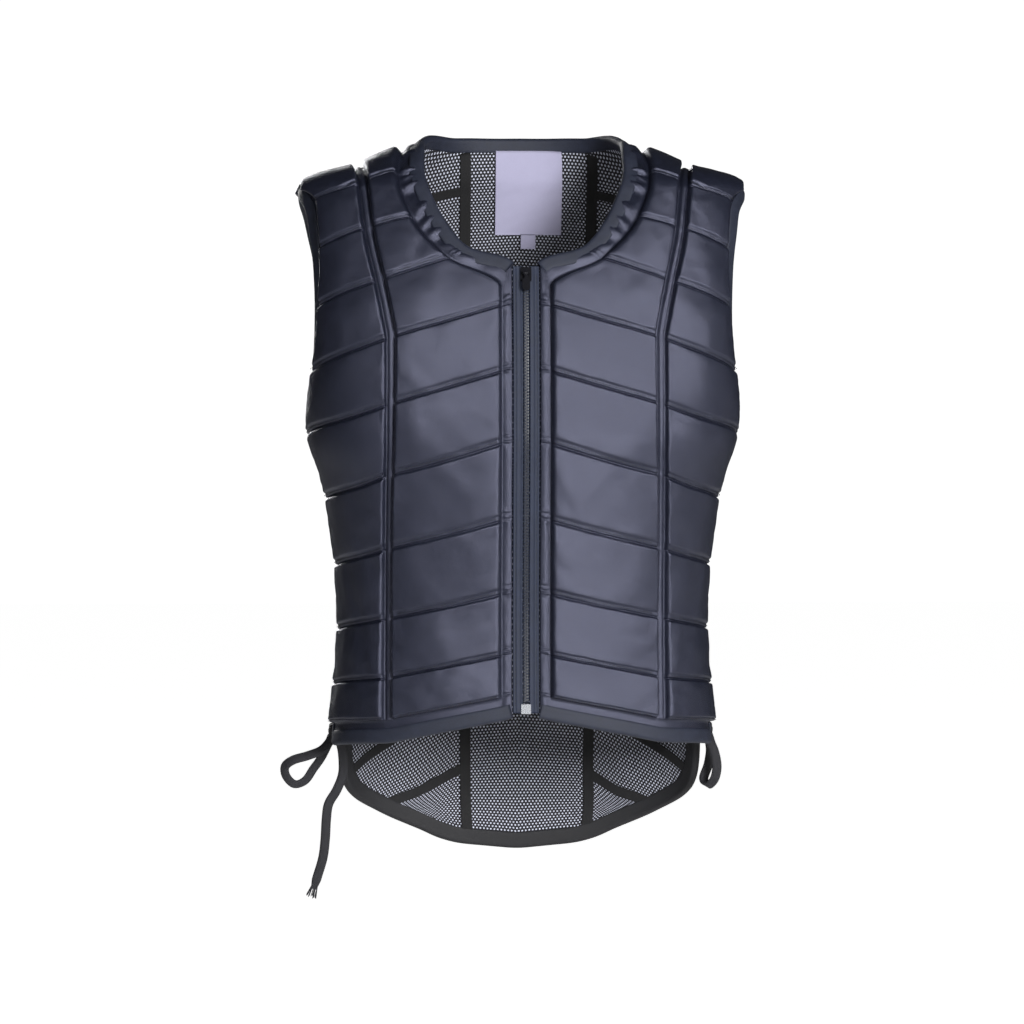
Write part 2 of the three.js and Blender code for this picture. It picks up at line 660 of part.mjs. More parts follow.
const backSideStations = backKept(armpitBack, tailRow - 1).map((j) => columnStation(back, j, backLast, backLast - 1));
const tailStations = [station(back, tailRow, backLast, [[tailRow - 2, backLast - 2]])];
for (let i = backLast - 1; i > 0; i -= 1) tailStations.push(rowStation(back, tailRow, i, tailRow - 1));
const tailHalf = tailStations.slice(0, backLast / 2 + 1);

// Round the tail the strip turns partly square to the edge, because the panel's own lines meet it at a slant.
const tailStart = 8.6;
const tailTurn = 0.3;
const tailHeart = [0, backDepth, -0.85 * torsoLength];
function squared(stations, from) {
  return stations.map((s, k) => {
    if (k < from || k === stations.length - 1) return s;
    const along = unit(sub(stations[k + 1].outerEdge, stations[k - 1].outerEdge));
    const across = unit(cross(s.out, along));
    const turn = Math.sign(dot(across, sub(tailHeart, s.outerEdge))) * tailTurn;
    return { ...s, outerInto: unit(add(s.outerInto, across, turn)), innerInto: unit(add(s.innerInto, across, turn)) };
  });
}
const straightStations = backKept(armpitBack, tailRow - 1).filter((j) => backRows[j].v < tailStart).length;
const tailRun = squared(trimmed([...turnedTo(backSideStations, true), ...tailHalf], true, gap), straightStations);

const neckFront = frontKept(0, neckFoot)
  .reverse()
  .map((j) => columnStation(front, j, 0, 1));
const neckCorner = backLast / 2 + 6; // the back panel's line that meets the neck end of the shoulder seam
const neckBackHalf = [];
for (let i = neckCorner - 1; i >= backLast / 2; i -= 1) neckBackHalf.push(rowStation(back, 0, i, 1));
const neckShoulder = neckFront[neckFront.length - 1];
const neckFrontHalf = [...neckFront.slice(0, -1), shifted(neckShoulder, [0, seamHalfGap, 0])];
const mirrored = (stations) => stations.map((s) => placedStation(s, mirrorPoint)).reverse();
const neckRun = [
  ...turnedTo([...neckFrontHalf, ...neckBackHalf], true),
  ...turnedTo(mirrored(neckBackHalf.slice(0, -1)), true),
  ...mirrored(neckFrontHalf),
];
vestPiece("neck_binding", bindingStrip(neckRun), edging);
["left", "right"].forEach((side) => vestPiece(`armhole_binding_${side}`, bindingStrip(armholeRuns[side]), edging));

// Lacing loops: short sleeves of webbing on the side bindings that the lace runs through, up and down.
const laceLevels = Array.from({ length: laceRows }, (_, i) => 0.425 + (i * (0.775 - 0.425)) / (laceRows - 1));
function edgeAtHeight(sideLine, lowRow, highRow, z) {
  let [low, high] = [lowRow, highRow];
  for (let i = 0; i < 40; i += 1) {
    const middle = (low + high) / 2;
    if (sideLine(middle)[2] > z) low = middle;
    else high = middle;
  }
  return low;
}
function loopFrame(sideLine, lowRow, highRow, level, away) {
  const v = edgeAtHeight(sideLine, lowRow, highRow, -level * torsoLength);
  const p = sideLine(v);
  const down = unit(sub(sideLine(v + 0.1), sideLine(v - 0.1)));
  const out = normalAt(p);
  const off = unit(cross(out, down));
  const along = Math.sign(off[1]) === away ? off : off.map((c) => -c);
  const start = bindingPlay + bindingThickness;
  const centre = add(add(p, out, clothThickness / 2), along, start + laceLoopReach / 2 - 1);
  return { centre, down, out, along };
}
const frontLoops = laceLevels.map((l) => loopFrame(frontSide, 5, 10.6, l, 1));
const backLoops = laceLevels.map((l) => loopFrame(backSide, 4.6, 8.6, l, -1));

const solidOf = (geometry) => {
  const bare = new THREE.BufferGeometry().setAttribute("position", geometry.toNonIndexed().getAttribute("position"));
  const merged = mergeVertices(bare, 1e-4);
  const triVerts = new Uint32Array(merged.index.array);
  return new wasm.Manifold(new wasm.Mesh({ numProp: 3, vertProperties: merged.attributes.position.array, triVerts }));
};
const geometryOf = (solid) => {
  const m = solid.getMesh();
  const geometry = new THREE.BufferGeometry();
  geometry.setAttribute("position", new THREE.BufferAttribute(new Float32Array(m.vertProperties), 3));
  geometry.setIndex(new THREE.BufferAttribute(new Uint32Array(m.triVerts), 1));
  return geometry;
};
const joined = (geometries) => geometryOf(geometries.map(solidOf).reduce((a, b) => a.add(b)));

function sleeve({ centre, down, out, along }) {
  const sides = 4;
  const ringPoint = (k, grow, end) => {
    const turn = ((k + 0.5) / sides) * 2 * Math.PI;
    const flat = Math.cos(turn) / Math.cos(Math.PI / sides);
    const p = add(centre, along, flat * (laceLoopReach / 2 - grow));
    const flatOut = Math.sin(turn) / Math.sin(Math.PI / sides);
    return add(add(p, out, flatOut * (laceLoopDepth / 2 - grow)), down, (end * laceLoopHeight) / 2);
  };
  const triangles = [];
  for (let k = 0; k < sides; k += 1) {
    const at = (step, grow, end) => ringPoint((k + step) % sides, grow, end);
    const outerWall = quad(at(0, 0, -1), at(1, 0, -1), at(1, 0, 1), at(0, 0, 1));
    const innerWall = quad(at(1, laceLoopWall, -1), at(0, laceLoopWall, -1), at(0, laceLoopWall, 1), at(1, laceLoopWall, 1));
    const foot = quad(at(1, 0, -1), at(0, 0, -1), at(0, laceLoopWall, -1), at(1, laceLoopWall, -1));
    const head = quad(at(0, 0, 1), at(1, 0, 1), at(1, laceLoopWall, 1), at(0, laceLoopWall, 1));
    triangles.push(...outerWall, ...innerWall, ...foot, ...head);
  }
  return bodyOf(triangles);
}

const placedFrame = (f, place) => ({
  centre: place(f.centre),
  down: place(f.down),
  out: place(f.out),
  along: place(f.along),
});
const withSleeves = (strip, loops, place) => joined([strip, ...loops.map((f) => sleeve(placedFrame(f, place)))]);
bothSides(
  "hem_binding",
  (place) => withSleeves(bindingStrip(hemRun.map((s) => placedStation(s, place))), frontLoops, place),
  edging,
);
const tailMirror = mirrored(tailRun.slice(0, -1)).map((s) => ({ ...s, turned: false }));
const tailMirrorSide = tailMirror.length - backSideStations.length;
tailMirror.forEach((s, k) => {
  s.turned = k >= tailMirrorSide - 1;
});
const wholeTailRun = [...tailRun, ...tailMirror];
const tailStrip = bindingStrip(wholeTailRun);
const bothLoops = [...backLoops, ...backLoops.map((f) => placedFrame(f, mirrorPoint))];
vestPiece("tail_binding", withSleeves(tailStrip, bothLoops, (p) => p), edging);

bothSides("front_panel", (place) => shell(placed(front.outer, place), placed(front.inner, place), front.kept), nylon);

// The neck turns sharply at the shoulder seams: the back panel is trimmed there to clear its binding.
const trimGap = 0.35;
const neckCutter = solidOf(bindingStrip(neckRun, bindingClearance - trimGap, bindingThickness + 3));
const wholeBack = solidOf(shell(back.outer, back.inner, back.kept));
vestPiece("back_panel", geometryOf(wholeBack.subtract(neckCutter)), nylon);

// The lining is trimmed where the tail binding turns at the lowest corners.
const longer = wholeTailRun.map((s) => ({ ...s, reach: s.reach * 1.08 }));
const tailCutter = solidOf(bindingStrip(longer, bindingClearance - trimGap, bindingThickness + 2 * trimGap));
vestPiece("back_lining", geometryOf(solidOf(wholeLining).subtract(tailCutter)), mesh);

// A flat cord along a line of points, its wide side held along a given direction at each point.
function flatCord(points, widths, width, thickness) {
  const sides = 4;
  const square = 1 / Math.cos(Math.PI / sides);
  const rings = points.map((p, k) => {
    const before = points[Math.max(k - 1, 0)];
    const after = points[Math.min(k + 1, points.length - 1)];
    const along = unit(sub(after, before));
    const wide = unit(sub(widths[k], along.map((v) => v * dot(widths[k], along))));
    const thin = cross(along, wide);
    return Array.from({ length: sides }, (_, i) => {
      const turn = ((i + 0.5) / sides) * 2 * Math.PI;
      return add(add(p, wide, (Math.cos(turn) * square * width) / 2), thin, (Math.sin(turn) * square * thickness) / 2);
    });
  });
  const triangles = [];
  for (let k = 0; k < rings.length - 1; k += 1)
    for (let i = 0; i < sides; i += 1) {
      const n = (i + 1) % sides;
      triangles.push(...quad(rings[k][i], rings[k][n], rings[k + 1][n], rings[k + 1][i]));
    }
  [rings[0], rings[rings.length - 1]].forEach((ring, end) => {
    for (let i = 1; i < sides - 1; i += 1) {
      const face = [ring[0], ring[i], ring[i + 1]];
      triangles.push(end ? face : [face[0], face[2], face[1]]);
    }
  });
  return bodyOf(triangles);
}

// The knot at the foot of the lacing, midway between the two side edges.
const knotDrop = 20; // below the lowest loops
const lowestFront = frontLoops[laceRows - 1];
const lowestBack = backLoops[laceRows - 1];
const knotCentre = add(add(mix(lowestFront.centre, lowestBack.centre, 0.5), [0, 0, -knotDrop]), [5, 0, 0]);

// The lace: up through the loops on alternate sides, over the top and down again.
const crossing = laceThickness / 2 + 0.6;
function lacePath() {
  const pass = (f) => ({ at: f.centre, wide: f.along, out: f.out, down: f.down });
  const up = [];
  const downWay = [];
  for (let i = laceRows - 1; i >= 0; i -= 1) {
    const fromFront = (laceRows - 1 - i) % 2 === 0;
    up.push(pass(fromFront ? frontLoops[i] : backLoops[i]));
    downWay.unshift(pass(fromFront ? backLoops[i] : frontLoops[i]));
  }
  const stops = [...up, ...downWay];
  const points = [];
  const widths = [];
  const put = (p, w) => {
    points.push(p);
    widths.push(w);
  };
  const inLoop = laceLoopHeight / 2 + 4;
  const foot = add(knotCentre, [0, -knotWidth * 0.22, knotLength * 0.2]);
  const otherFoot = add(knotCentre, [0, knotWidth * 0.22, knotLength * 0.2]);
  put(foot, stops[0].wide);
  stops.forEach((s, k) => {
    const rising = k < up.length;
    const step = rising ? -inLoop : inLoop;
    put(add(s.at, s.down, -step), s.wide);
    put(add(s.at, s.down, step), s.wide);
    const next = stops[k + 1];
    if (!next) return;
    if (k === up.length - 1) {
      const middle = add(mix(s.at, next.at, 0.5), s.out, 1);
      put(add(mix(s.at, middle, 0.5), s.down, -inLoop - 3), [0, 0, 1]);
      put(add(mix(next.at, middle, 0.5), s.down, -inLoop - 3), [0, 0, 1]);
      return;
    }
    const [a, b] = [add(s.at, s.down, step), add(next.at, next.down, rising ? inLoop : -inLoop)];
    const side = rising ? -crossing : crossing;
    const across = unit(cross(unit(sub(b, a)), s.out));
    [0.4, 0.6].forEach((t) => put(add(mix(a, b, t), s.out, side), across));
  });
  put(otherFoot, stops[stops.length - 1].wide);
  let previous = widths[0];
  const steady = widths.map((w) => {
    previous = dot(w, previous) < 0 ? w.map((c) => -c) : w;
    return previous;
  });
  return { points, widths: steady };
}
const lace = lacePath();

// The knot is an ellipsoid; grown a little, it trims the ends of the lace that run into it.
function knotBody(place, grow = 0) {
  const ball = new THREE.SphereGeometry(0.5, 8, 6);
  const position = ball.getAttribute("position");
  const size = [knotDepth, knotWidth, knotLength].map((s) => s + 2 * grow);
  const at = (k) => [position.getX(k), position.getZ(k), position.getY(k)];
  const points = Array.from({ length: position.count }, (_, k) =>
    place(add(knotCentre, at(k).map((v, i) => v * size[i]))),
  );
  const triangles = [];
  for (let i = 0; i < ball.index.count; i += 3) {
    const [a, b, c] = [0, 1, 2].map((k) => points[ball.index.getX(i + k)]);
    if (length(cross(sub(b, a), sub(c, a))) > 1e-6) triangles.push([a, b, c]);
  }
  return bodyOf(triangles);
}
const trimmedAtKnot = (cord, place) => geometryOf(solidOf(cord).subtract(solidOf(knotBody(place, lacePlay))));
bothSides(
  "side_lace",
  (place) =>
    trimmedAtKnot(flatCord(lace.points.map(place), lace.widths.map(place), laceWidth, laceThickness), place),
  braid,
);
bothSides("lace_knot", (place) => knotBody(place), braid);

// Zip tapes, chain and end box, lofted down the front opening.
const zipTop = frontEdge(neckCornerRow)[2];
const zipBottom = frontEdge(11)[2];
const sliderCentre = zipTop - sliderLength / 2 - 1;
const boxTop = zipBottom + boxLength;
const zipHeights = (from, to) => [from, ...frontRows.filter((r) => r.coarse).map((r) => frontEdge(r.v)[2]), to]
  .filter((z) => z <= from && z >= to)
  .sort((a, b) => b - a)
  .filter((z, k, all) => k === 0 || all[k - 1] - z > 0.5);
function ribbon(heights, innerX, outerX, low, high) {
  const row = (z) => [acrossPoint(innerX(z), z, -1), acrossPoint(outerX, z, -1)];
  const face = (d) => heights.map((z) => row(z).map((p) => lift(p, d)));
  return [face(high), face(low), heights.map((_, k) => k)];
}
const tapeLow = (clothThickness - zipTapeThickness) / 2;
const tapeHigh = tapeLow + zipTapeThickness;
const tapeInnerX = (z) => (z < boxTop + 0.7 ? boxWidth / 2 + gap : zipGap);
const tapeHeights = [...zipHeights(zipTop, boxTop + 2), boxTop + 0.5, zipBottom];
bothSides(
  "zip_tape",
  (place) => {
    const [high, low, all] = ribbon(tapeHeights, tapeInnerX, zipHalfWidth, tapeLow, tapeHigh);
    return shell(placed(high, place), placed(low, place), all);
  },
  zipCloth,
);
const chainTop = sliderCentre - sliderLength / 2 - gap;
const chainLow = (clothThickness - toothThickness) / 2;
const chainHeights = zipHeights(chainTop, boxTop + gap);
const chain = ribbon(chainHeights, () => -toothHalfWidth, toothHalfWidth, chainLow, chainLow + toothThickness);
vestPiece("zip_chain", shell(...chain), zipPlastic);

// Small hard parts are built flat, x across, y out of the cloth and z down, then set on the zip at a height.
function onZip(geometry, z) {
  const p = acrossPoint(0, z, -1);
  const out = normalAt(p);
  const basis = new THREE.Matrix4().makeBasis(
    new THREE.Vector3(1, 0, 0),
    new THREE.Vector3(...out),
    new THREE.Vector3(...cross([1, 0, 0], out)),
  );
  basis.setPosition(...p);
  return geometry.applyMatrix4(basis);
}
const block = (x, y0, y1, z0, z1, cx = 0) =>
  new THREE.BoxGeometry(x, y1 - y0, z1 - z0).translate(cx, (y0 + y1) / 2, (z0 + z1) / 2);
const pinHeight = tapeHigh + sliderThickness + 1.9;
const barrelRadius = pinRadius + pinPlay + 0.9;
const barrelWidth = 2.6;
const frontPlate = tapeHigh + 0.7;
function sliderBody() {
  const half = sliderLength / 2;
  const lugX = barrelWidth / 2 + pinPlay + lugWall / 2;
  const pin = new THREE.CylinderGeometry(pinRadius, pinRadius, 2 * lugX, 12).rotateZ(Math.PI / 2);
  return joined([
    block(sliderWidth, frontPlate, frontPlate + 1.5, -half, half),
    block(sliderWidth, tapeLow - 1.9, tapeLow - 0.6, -half, half),
    block(2 * (zipGap - gap), tapeLow - 1, frontPlate + 0.5, -half, half),
    block(lugWall, frontPlate + 1, pinHeight + 1.4, -lugWidth / 2, lugWidth / 2, lugX),
    block(lugWall, frontPlate + 1, pinHeight + 1.4, -lugWidth / 2, lugWidth / 2, -lugX),
    pin.translate(0, pinHeight, 0),
  ]);
}
vestPiece("zip_slider", onZip(sliderBody(), sliderCentre), darkMetal);

function pullBody() {
  const barrel = new THREE.CylinderGeometry(barrelRadius, barrelRadius, barrelWidth, 16).rotateZ(Math.PI / 2);
  const bore = new THREE.CylinderGeometry(pinRadius + pinPlay, pinRadius + pinPlay, barrelWidth + 2, 16);
  const neckEnd = barrelRadius + 2.4;
  const tongue = new THREE.Shape();
  const half = pullWidth / 2;
  tongue.moveTo(-barrelWidth / 2, 0);
  tongue.lineTo(barrelWidth / 2, 0);
  tongue.lineTo(barrelWidth / 2, neckEnd);
  tongue.lineTo(half, neckEnd + 1.5);
  tongue.lineTo(half, pullLength - 1.5);
  tongue.lineTo(half - 1.5, pullLength);
  tongue.lineTo(1.5 - half, pullLength);
  tongue.lineTo(-half, pullLength - 1.5);
  tongue.lineTo(-half, neckEnd + 1.5);
  tongue.lineTo(-barrelWidth / 2, neckEnd);
  const plate = new THREE.ExtrudeGeometry(tongue, { depth: pullThickness, bevelEnabled: false });
  plate.translate(0, 0, -pullThickness / 2).rotateX(Math.PI / 2);
  const solid = solidOf(barrel)
    .add(solidOf(plate))
    .subtract(solidOf(bore.rotateZ(Math.PI / 2)));
  return geometryOf(solid).translate(0, pinHeight, 0);
}
vestPiece("zip_pull", onZip(pullBody(), sliderCentre), darkMetal);
const boxMiddle = clothThickness / 2;
const endBox = block(boxWidth, boxMiddle - boxThickness / 2, boxMiddle + boxThickness / 2, 0, boxLength);
vestPiece("zip_end_box", onZip(endBox, boxTop), brightMetal);

// Free ends of the laces below the knots: a bow loop on each side and one hanging end on the right.
// Each point is measured from the knot: outwards, back and up.
const BOW_LOOP = [
  { out: 1, back: -3, up: -4 },
  { out: 10, back: -7, up: -14 },
  { out: 22, back: -8, up: -19 },
  { out: 35, back: -7, up: -23 },
  { out: 42, back: -4, up: -29 },
  { out: 41, back: 0, up: -38 },
  { out: 34, back: 3, up: -45 },
  { out: 25, back: 5, up: -42 },
  { out: 18, back: 5, up: -32 },
  { out: 11, back: 4, up: -22 },
  { out: 5, back: 4, up: -10 },
  { out: 2, back: 3, up: -3 },
];
const TUCKED_LOOP = [
  { out: 1, back: -3, up: -3 },
  { out: 3, back: -7, up: -10 },
  { out: 6, back: -9, up: -18 },
  { out: 8, back: -9, up: -30 },
  { out: 6, back: -7, up: -41 },
  { out: 1, back: -1, up: -47 },
  { out: -2, back: 6, up: -42 },
  { out: 2, back: 9, up: -31 },
  { out: 4, back: 9, up: -19 },
  { out: 3, back: 6, up: -10 },
  { out: 1, back: 3, up: -3 },
];
const HANGING_END = [
  { out: -2.5, back: 0, up: -4 },
  { out: -6, back: 1, up: -12 },
  { out: -7.5, back: 3, up: -24 },
  { out: -7, back: 4, up: -37 },
  { out: -2, back: 3, up: -50 },
  { out: 5, back: 2, up: -62 },
  { out: 7, back: 1, up: -75 },
  { out: 8, back: 0, up: -92 },
  { out: 10, back: 0, up: -108 },
  { out: 15, back: 0, up: -108 - tasselLength },
  { out: 18, back: 0, up: -118 - tasselLength },
];
function freeCord(name, layout, place, wideAt) {
  const points = layout.map((r) => place(add(knotCentre, [r.out, r.back, r.up])));
  const curve = new THREE.CatmullRomCurve3(points.map((p) => new THREE.Vector3(...p)));
  const steps = layout.length * 2;
  const along = curve.getSpacedPoints(steps).map((p) => p.toArray());
  const wide = along.map((_, k) => place(wideAt(k / steps)));
  vestPiece(name, trimmedAtKnot(flatCord(along, wide, laceWidth, laceThickness), place), braid);
}
freeCord("lace_loop_right", BOW_LOOP, mirrorPoint, () => [0.25, 1, 0.1]);
freeCord("lace_loop_left", TUCKED_LOOP, (p) => p, () => [1, 0.3, 0]);
freeCord("lace_end_right", HANGING_END, mirrorPoint, () => [1, -0.5, 0.2]);

export default vest;
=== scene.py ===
"""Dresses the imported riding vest: quilted panels, bindings, lining, zip, lacing and stitches.

Lengths are millimetres until a mesh is made, which is in metres in the part's own frame.
"""

from __future__ import annotations

import logging
import math
from dataclasses import dataclass, field
from enum import Enum
from typing import Any, Callable, Sequence

import bpy
import numpy as np
from mathutils import Matrix, Vector

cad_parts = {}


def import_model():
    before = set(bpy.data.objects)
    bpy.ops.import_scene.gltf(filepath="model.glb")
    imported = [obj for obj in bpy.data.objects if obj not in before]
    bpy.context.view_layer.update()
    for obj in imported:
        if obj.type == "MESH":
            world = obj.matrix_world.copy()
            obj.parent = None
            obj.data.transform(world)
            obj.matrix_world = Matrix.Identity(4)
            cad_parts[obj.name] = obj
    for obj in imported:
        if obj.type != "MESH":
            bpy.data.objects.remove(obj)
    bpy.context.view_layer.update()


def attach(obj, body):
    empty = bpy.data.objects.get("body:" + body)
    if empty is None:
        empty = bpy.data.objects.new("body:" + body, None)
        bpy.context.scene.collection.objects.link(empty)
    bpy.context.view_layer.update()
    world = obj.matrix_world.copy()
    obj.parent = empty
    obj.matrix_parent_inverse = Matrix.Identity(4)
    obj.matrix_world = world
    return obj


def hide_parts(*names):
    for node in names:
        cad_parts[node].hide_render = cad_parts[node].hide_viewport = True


LOG = logging.getLogger("vest")
MM = 0.001
MAP_UNIT = 100.0  # millimetres of cloth for each unit of a piece's map

# Sizes shared with the part
TORSO = 587.0
CHEST = 172.0
FRONT = 107.0
BACK = 110.0
FOAM = 11.0
CLOTH = 3.0
CROWN = 0.8
GUTTER = 4.0
FLANGE = 12.0
BINDING = 8.5
ZIP_EDGE = 11.4
FIRST_TILE = 20.0
LINING_SHIFT = 9.0
NECK_ROW = 3.6
SHOULDER_FOOT = -0.027
MIRROR = np.array([-1, 1, 1])

# The cloth simulation: the furthest move that counts, the share of it kept, and its length
CREASE_CAP = 4.0
CREASE_SHARE = 0.2
CREASE_FRAMES = 12
CREASE_PRESSURE = 2.0
CREASE_SPARE = 0.035
FREE_SHARE = 0.72

# The quilting: widths of walls, of the dome's rise, and of a row's samples
ROW_HEIGHT = 50.0
FAR = 99.0
DOME = 22.0
SEAM_RISE = 4.6
SIDE_WALL = 3.2
ZIP_WALL = 6.5
ABOVE_SEAM = np.array([0.0, 0.4, 0.8, 1.3, 2.0, 2.9])
BELOW_SEAM = np.array([0.0, 0.4, 0.8, 1.3, 2.4, 3.6, 4.1, 4.7, 5.5, 6.6])
AT_WALL = np.array([0, 0.35, 0.8, 1.4, 2.2, 3.2, 4.6])
FLAT_CLOTH = (-1.0, -1.0)
FOOT_ABOVE = 0.4
FOOT_BELOW = 0.2
TOP_WALL = 2.4

# The cloth's unevenness: height and wavelength of each kind of wave
BROAD_WAVE = (0.6, 38.0)
FINE_WAVE = (0.22, 14.0)
EDGE_WAVE = (0.8, 9.0)
BORDER_WAVE = (0.4, 9.0)

# The torso's sections: height, half width, front, back, squareness, as shares of the sizes above.
SECTIONS = [
    (-1.03, 0.93, 0.99, 0.964, 2.4),
    (-0.92, 0.93, 0.981, 0.945, 2.4),
    (-0.816, 0.913, 0.953, 0.909, 2.4),
    (-0.744, 0.884, 0.916, 0.864, 2.4),
    (-0.687, 0.863, 0.888, 0.827, 2.4),
    (-0.629, 0.858, 0.879, 0.818, 2.4),
    (-0.571, 0.866, 0.897, 0.836, 2.45),
    (-0.497, 0.895, 0.935, 0.891, 2.55),
    (-0.426, 0.939, 0.972, 0.945, 2.7),
    (-0.368, 1.0, 1.0, 0.982, 2.9),
    (-0.29, 1.017, 0.99, 1.0, 3.1),
    (-0.204, 1.023, 0.935, 0.973, 3.1),
    (-0.128, 1.047, 0.822, 0.9, 2.9),
    (-0.068, 1.076, 0.69, 0.8, 2.7),
    (-0.027, 1.07, 0.58, 0.7, 2.5),
    (0.0, 0.797, 0.505, 0.636, 2.4),
    (0.041, 0.494, 0.458, 0.605, 2.4),
    (0.075, 0.41, 0.46, 0.6, 2.4),
]
# Seam lines: row, then across and height for each line. A height of None is the shoulder ridge.
FRONT_ROWS = [
    (0, (0.494, None), (0.581, None), (0.79, None), (1.064, None)),
    (1, (0.5, 0), (0.605, -0.01), (0.767, -0.024), (-0.28, -0.053)),
    (2, (0.459, -0.039), (0.535, -0.07), (0.738, -0.085), (-0.41, -0.118)),
    (3, (0.29, -0.112), (0.36, -0.126), (0.683, -0.158), (-0.467, -0.199)),
    (3.6, (0, -0.135), (0, -0.164), (0.65, -0.204), (-0.45, -0.25)),
    (4, (0, -0.184), (0, -0.191), (0.634, -0.235), (-0.4, -0.29)),
    (4.5, (0, -0.23), (0, -0.236), (0.634, -0.281), (-0.28, -0.336)),
    (5, (0, -0.276), (0, -0.281), (0.636, -0.326), (-0.075, -0.376)),
    (10, (0, -0.734), (0, -0.739), (0.64, -0.774), (-0.056, -0.794)),
    (11, (0, -0.762), (0, -0.766), (0.64, -0.8), (-0.09, -0.818)),
]
BACK_ROWS = [
    (0, (0, 0.052), (0.32, 0.05), (0.494, None), (1.064, None)),
    (1, (0, -0.012), (0.32, -0.018), (0.56, -0.035), (0.32, -0.068)),
    (2, (0, -0.107), (0.32, -0.113), (0.6, -0.133), (0.47, -0.162)),
    (3, (0, -0.203), (0.32, -0.209), (0.61, -0.233), (0.5, -0.264)),
    (4, (0, -0.299), (0.32, -0.305), (0.61, -0.333), (0.41, -0.357)),
    (4.5, (0, -0.347), (0.32, -0.353), (0.61, -0.383), (0.32, -0.395)),
    (5, (0, -0.394), (0.32, -0.4), (0.61, -0.432), (0.31, -0.45)),
    (8, (0, -0.682), (0.32, -0.688), (0.61, -0.729), (0.31, -0.767)),
    (9, (0, -0.778), (0.32, -0.784), (0.6, -0.826), (0.41, -0.88)),
    (10, (0, -0.874), (0.32, -0.879), (0.5, -0.912), (0.7, -0.933)),
    (11, (0, -0.978), (0.31, -0.969), (0.42, -0.957), (0.817, -0.955)),
    (12, (0, -0.998), (0.3, -0.989), (0.41, -0.979), (0.87, -0.9675)),
]


class Side(Enum):
    """Which half of the vest a piece lies on: the wearer's left is +X."""

    LEFT = 1
    RIGHT = -1


class Facing(Enum):
    """Front or back of the torso."""

    FRONT = -1
    BACK = 1


def smooth_curve(knots: Sequence[tuple[float, float]]) -> Callable[[np.ndarray], np.ndarray]:
    """A smooth curve through knots that never overshoots them.

    Args:
        knots: pairs of position and value, in order of position.

    Returns:
        A function from an array of positions to values.
    """
    t = np.array([k[0] for k in knots], float)
    p = np.array([k[1] for k in knots], float)
    slope = np.diff(p) / np.diff(t)
    tangent = np.empty_like(p)
    tangent[0], tangent[-1] = slope[0], slope[-1]
    a, b = slope[:-1], slope[1:]
    total = np.where(a * b > 0, a + b, 1.0)
    tangent[1:-1] = np.where(a * b > 0, 2 * a * b / total, 0.0)

    def value(x: np.ndarray) -> np.ndarray:
        """The curve at positions x.

        Args:
            x: positions.

        Returns:
            The values.
        """
        x = np.asarray(x, float)
        i = np.clip(np.searchsorted(t, x, side="left") - 1, 0, len(slope) - 1)
        span = t[i + 1] - t[i]
        s = (x - t[i]) / span
        rise = s * s * (3 - 2 * s)
        bend = tangent[i] * s * (1 - s) ** 2 - tangent[i + 1] * s * s * (1 - s)
        return p[i] * (1 - rise) + p[i + 1] * rise + span * bend

    return value


def unit(v: np.ndarray) -> np.ndarray:
    """Vectors of length one along the last axis."""
    return v / np.maximum(np.linalg.norm(v, axis=-1, keepdims=True), 1e-12)


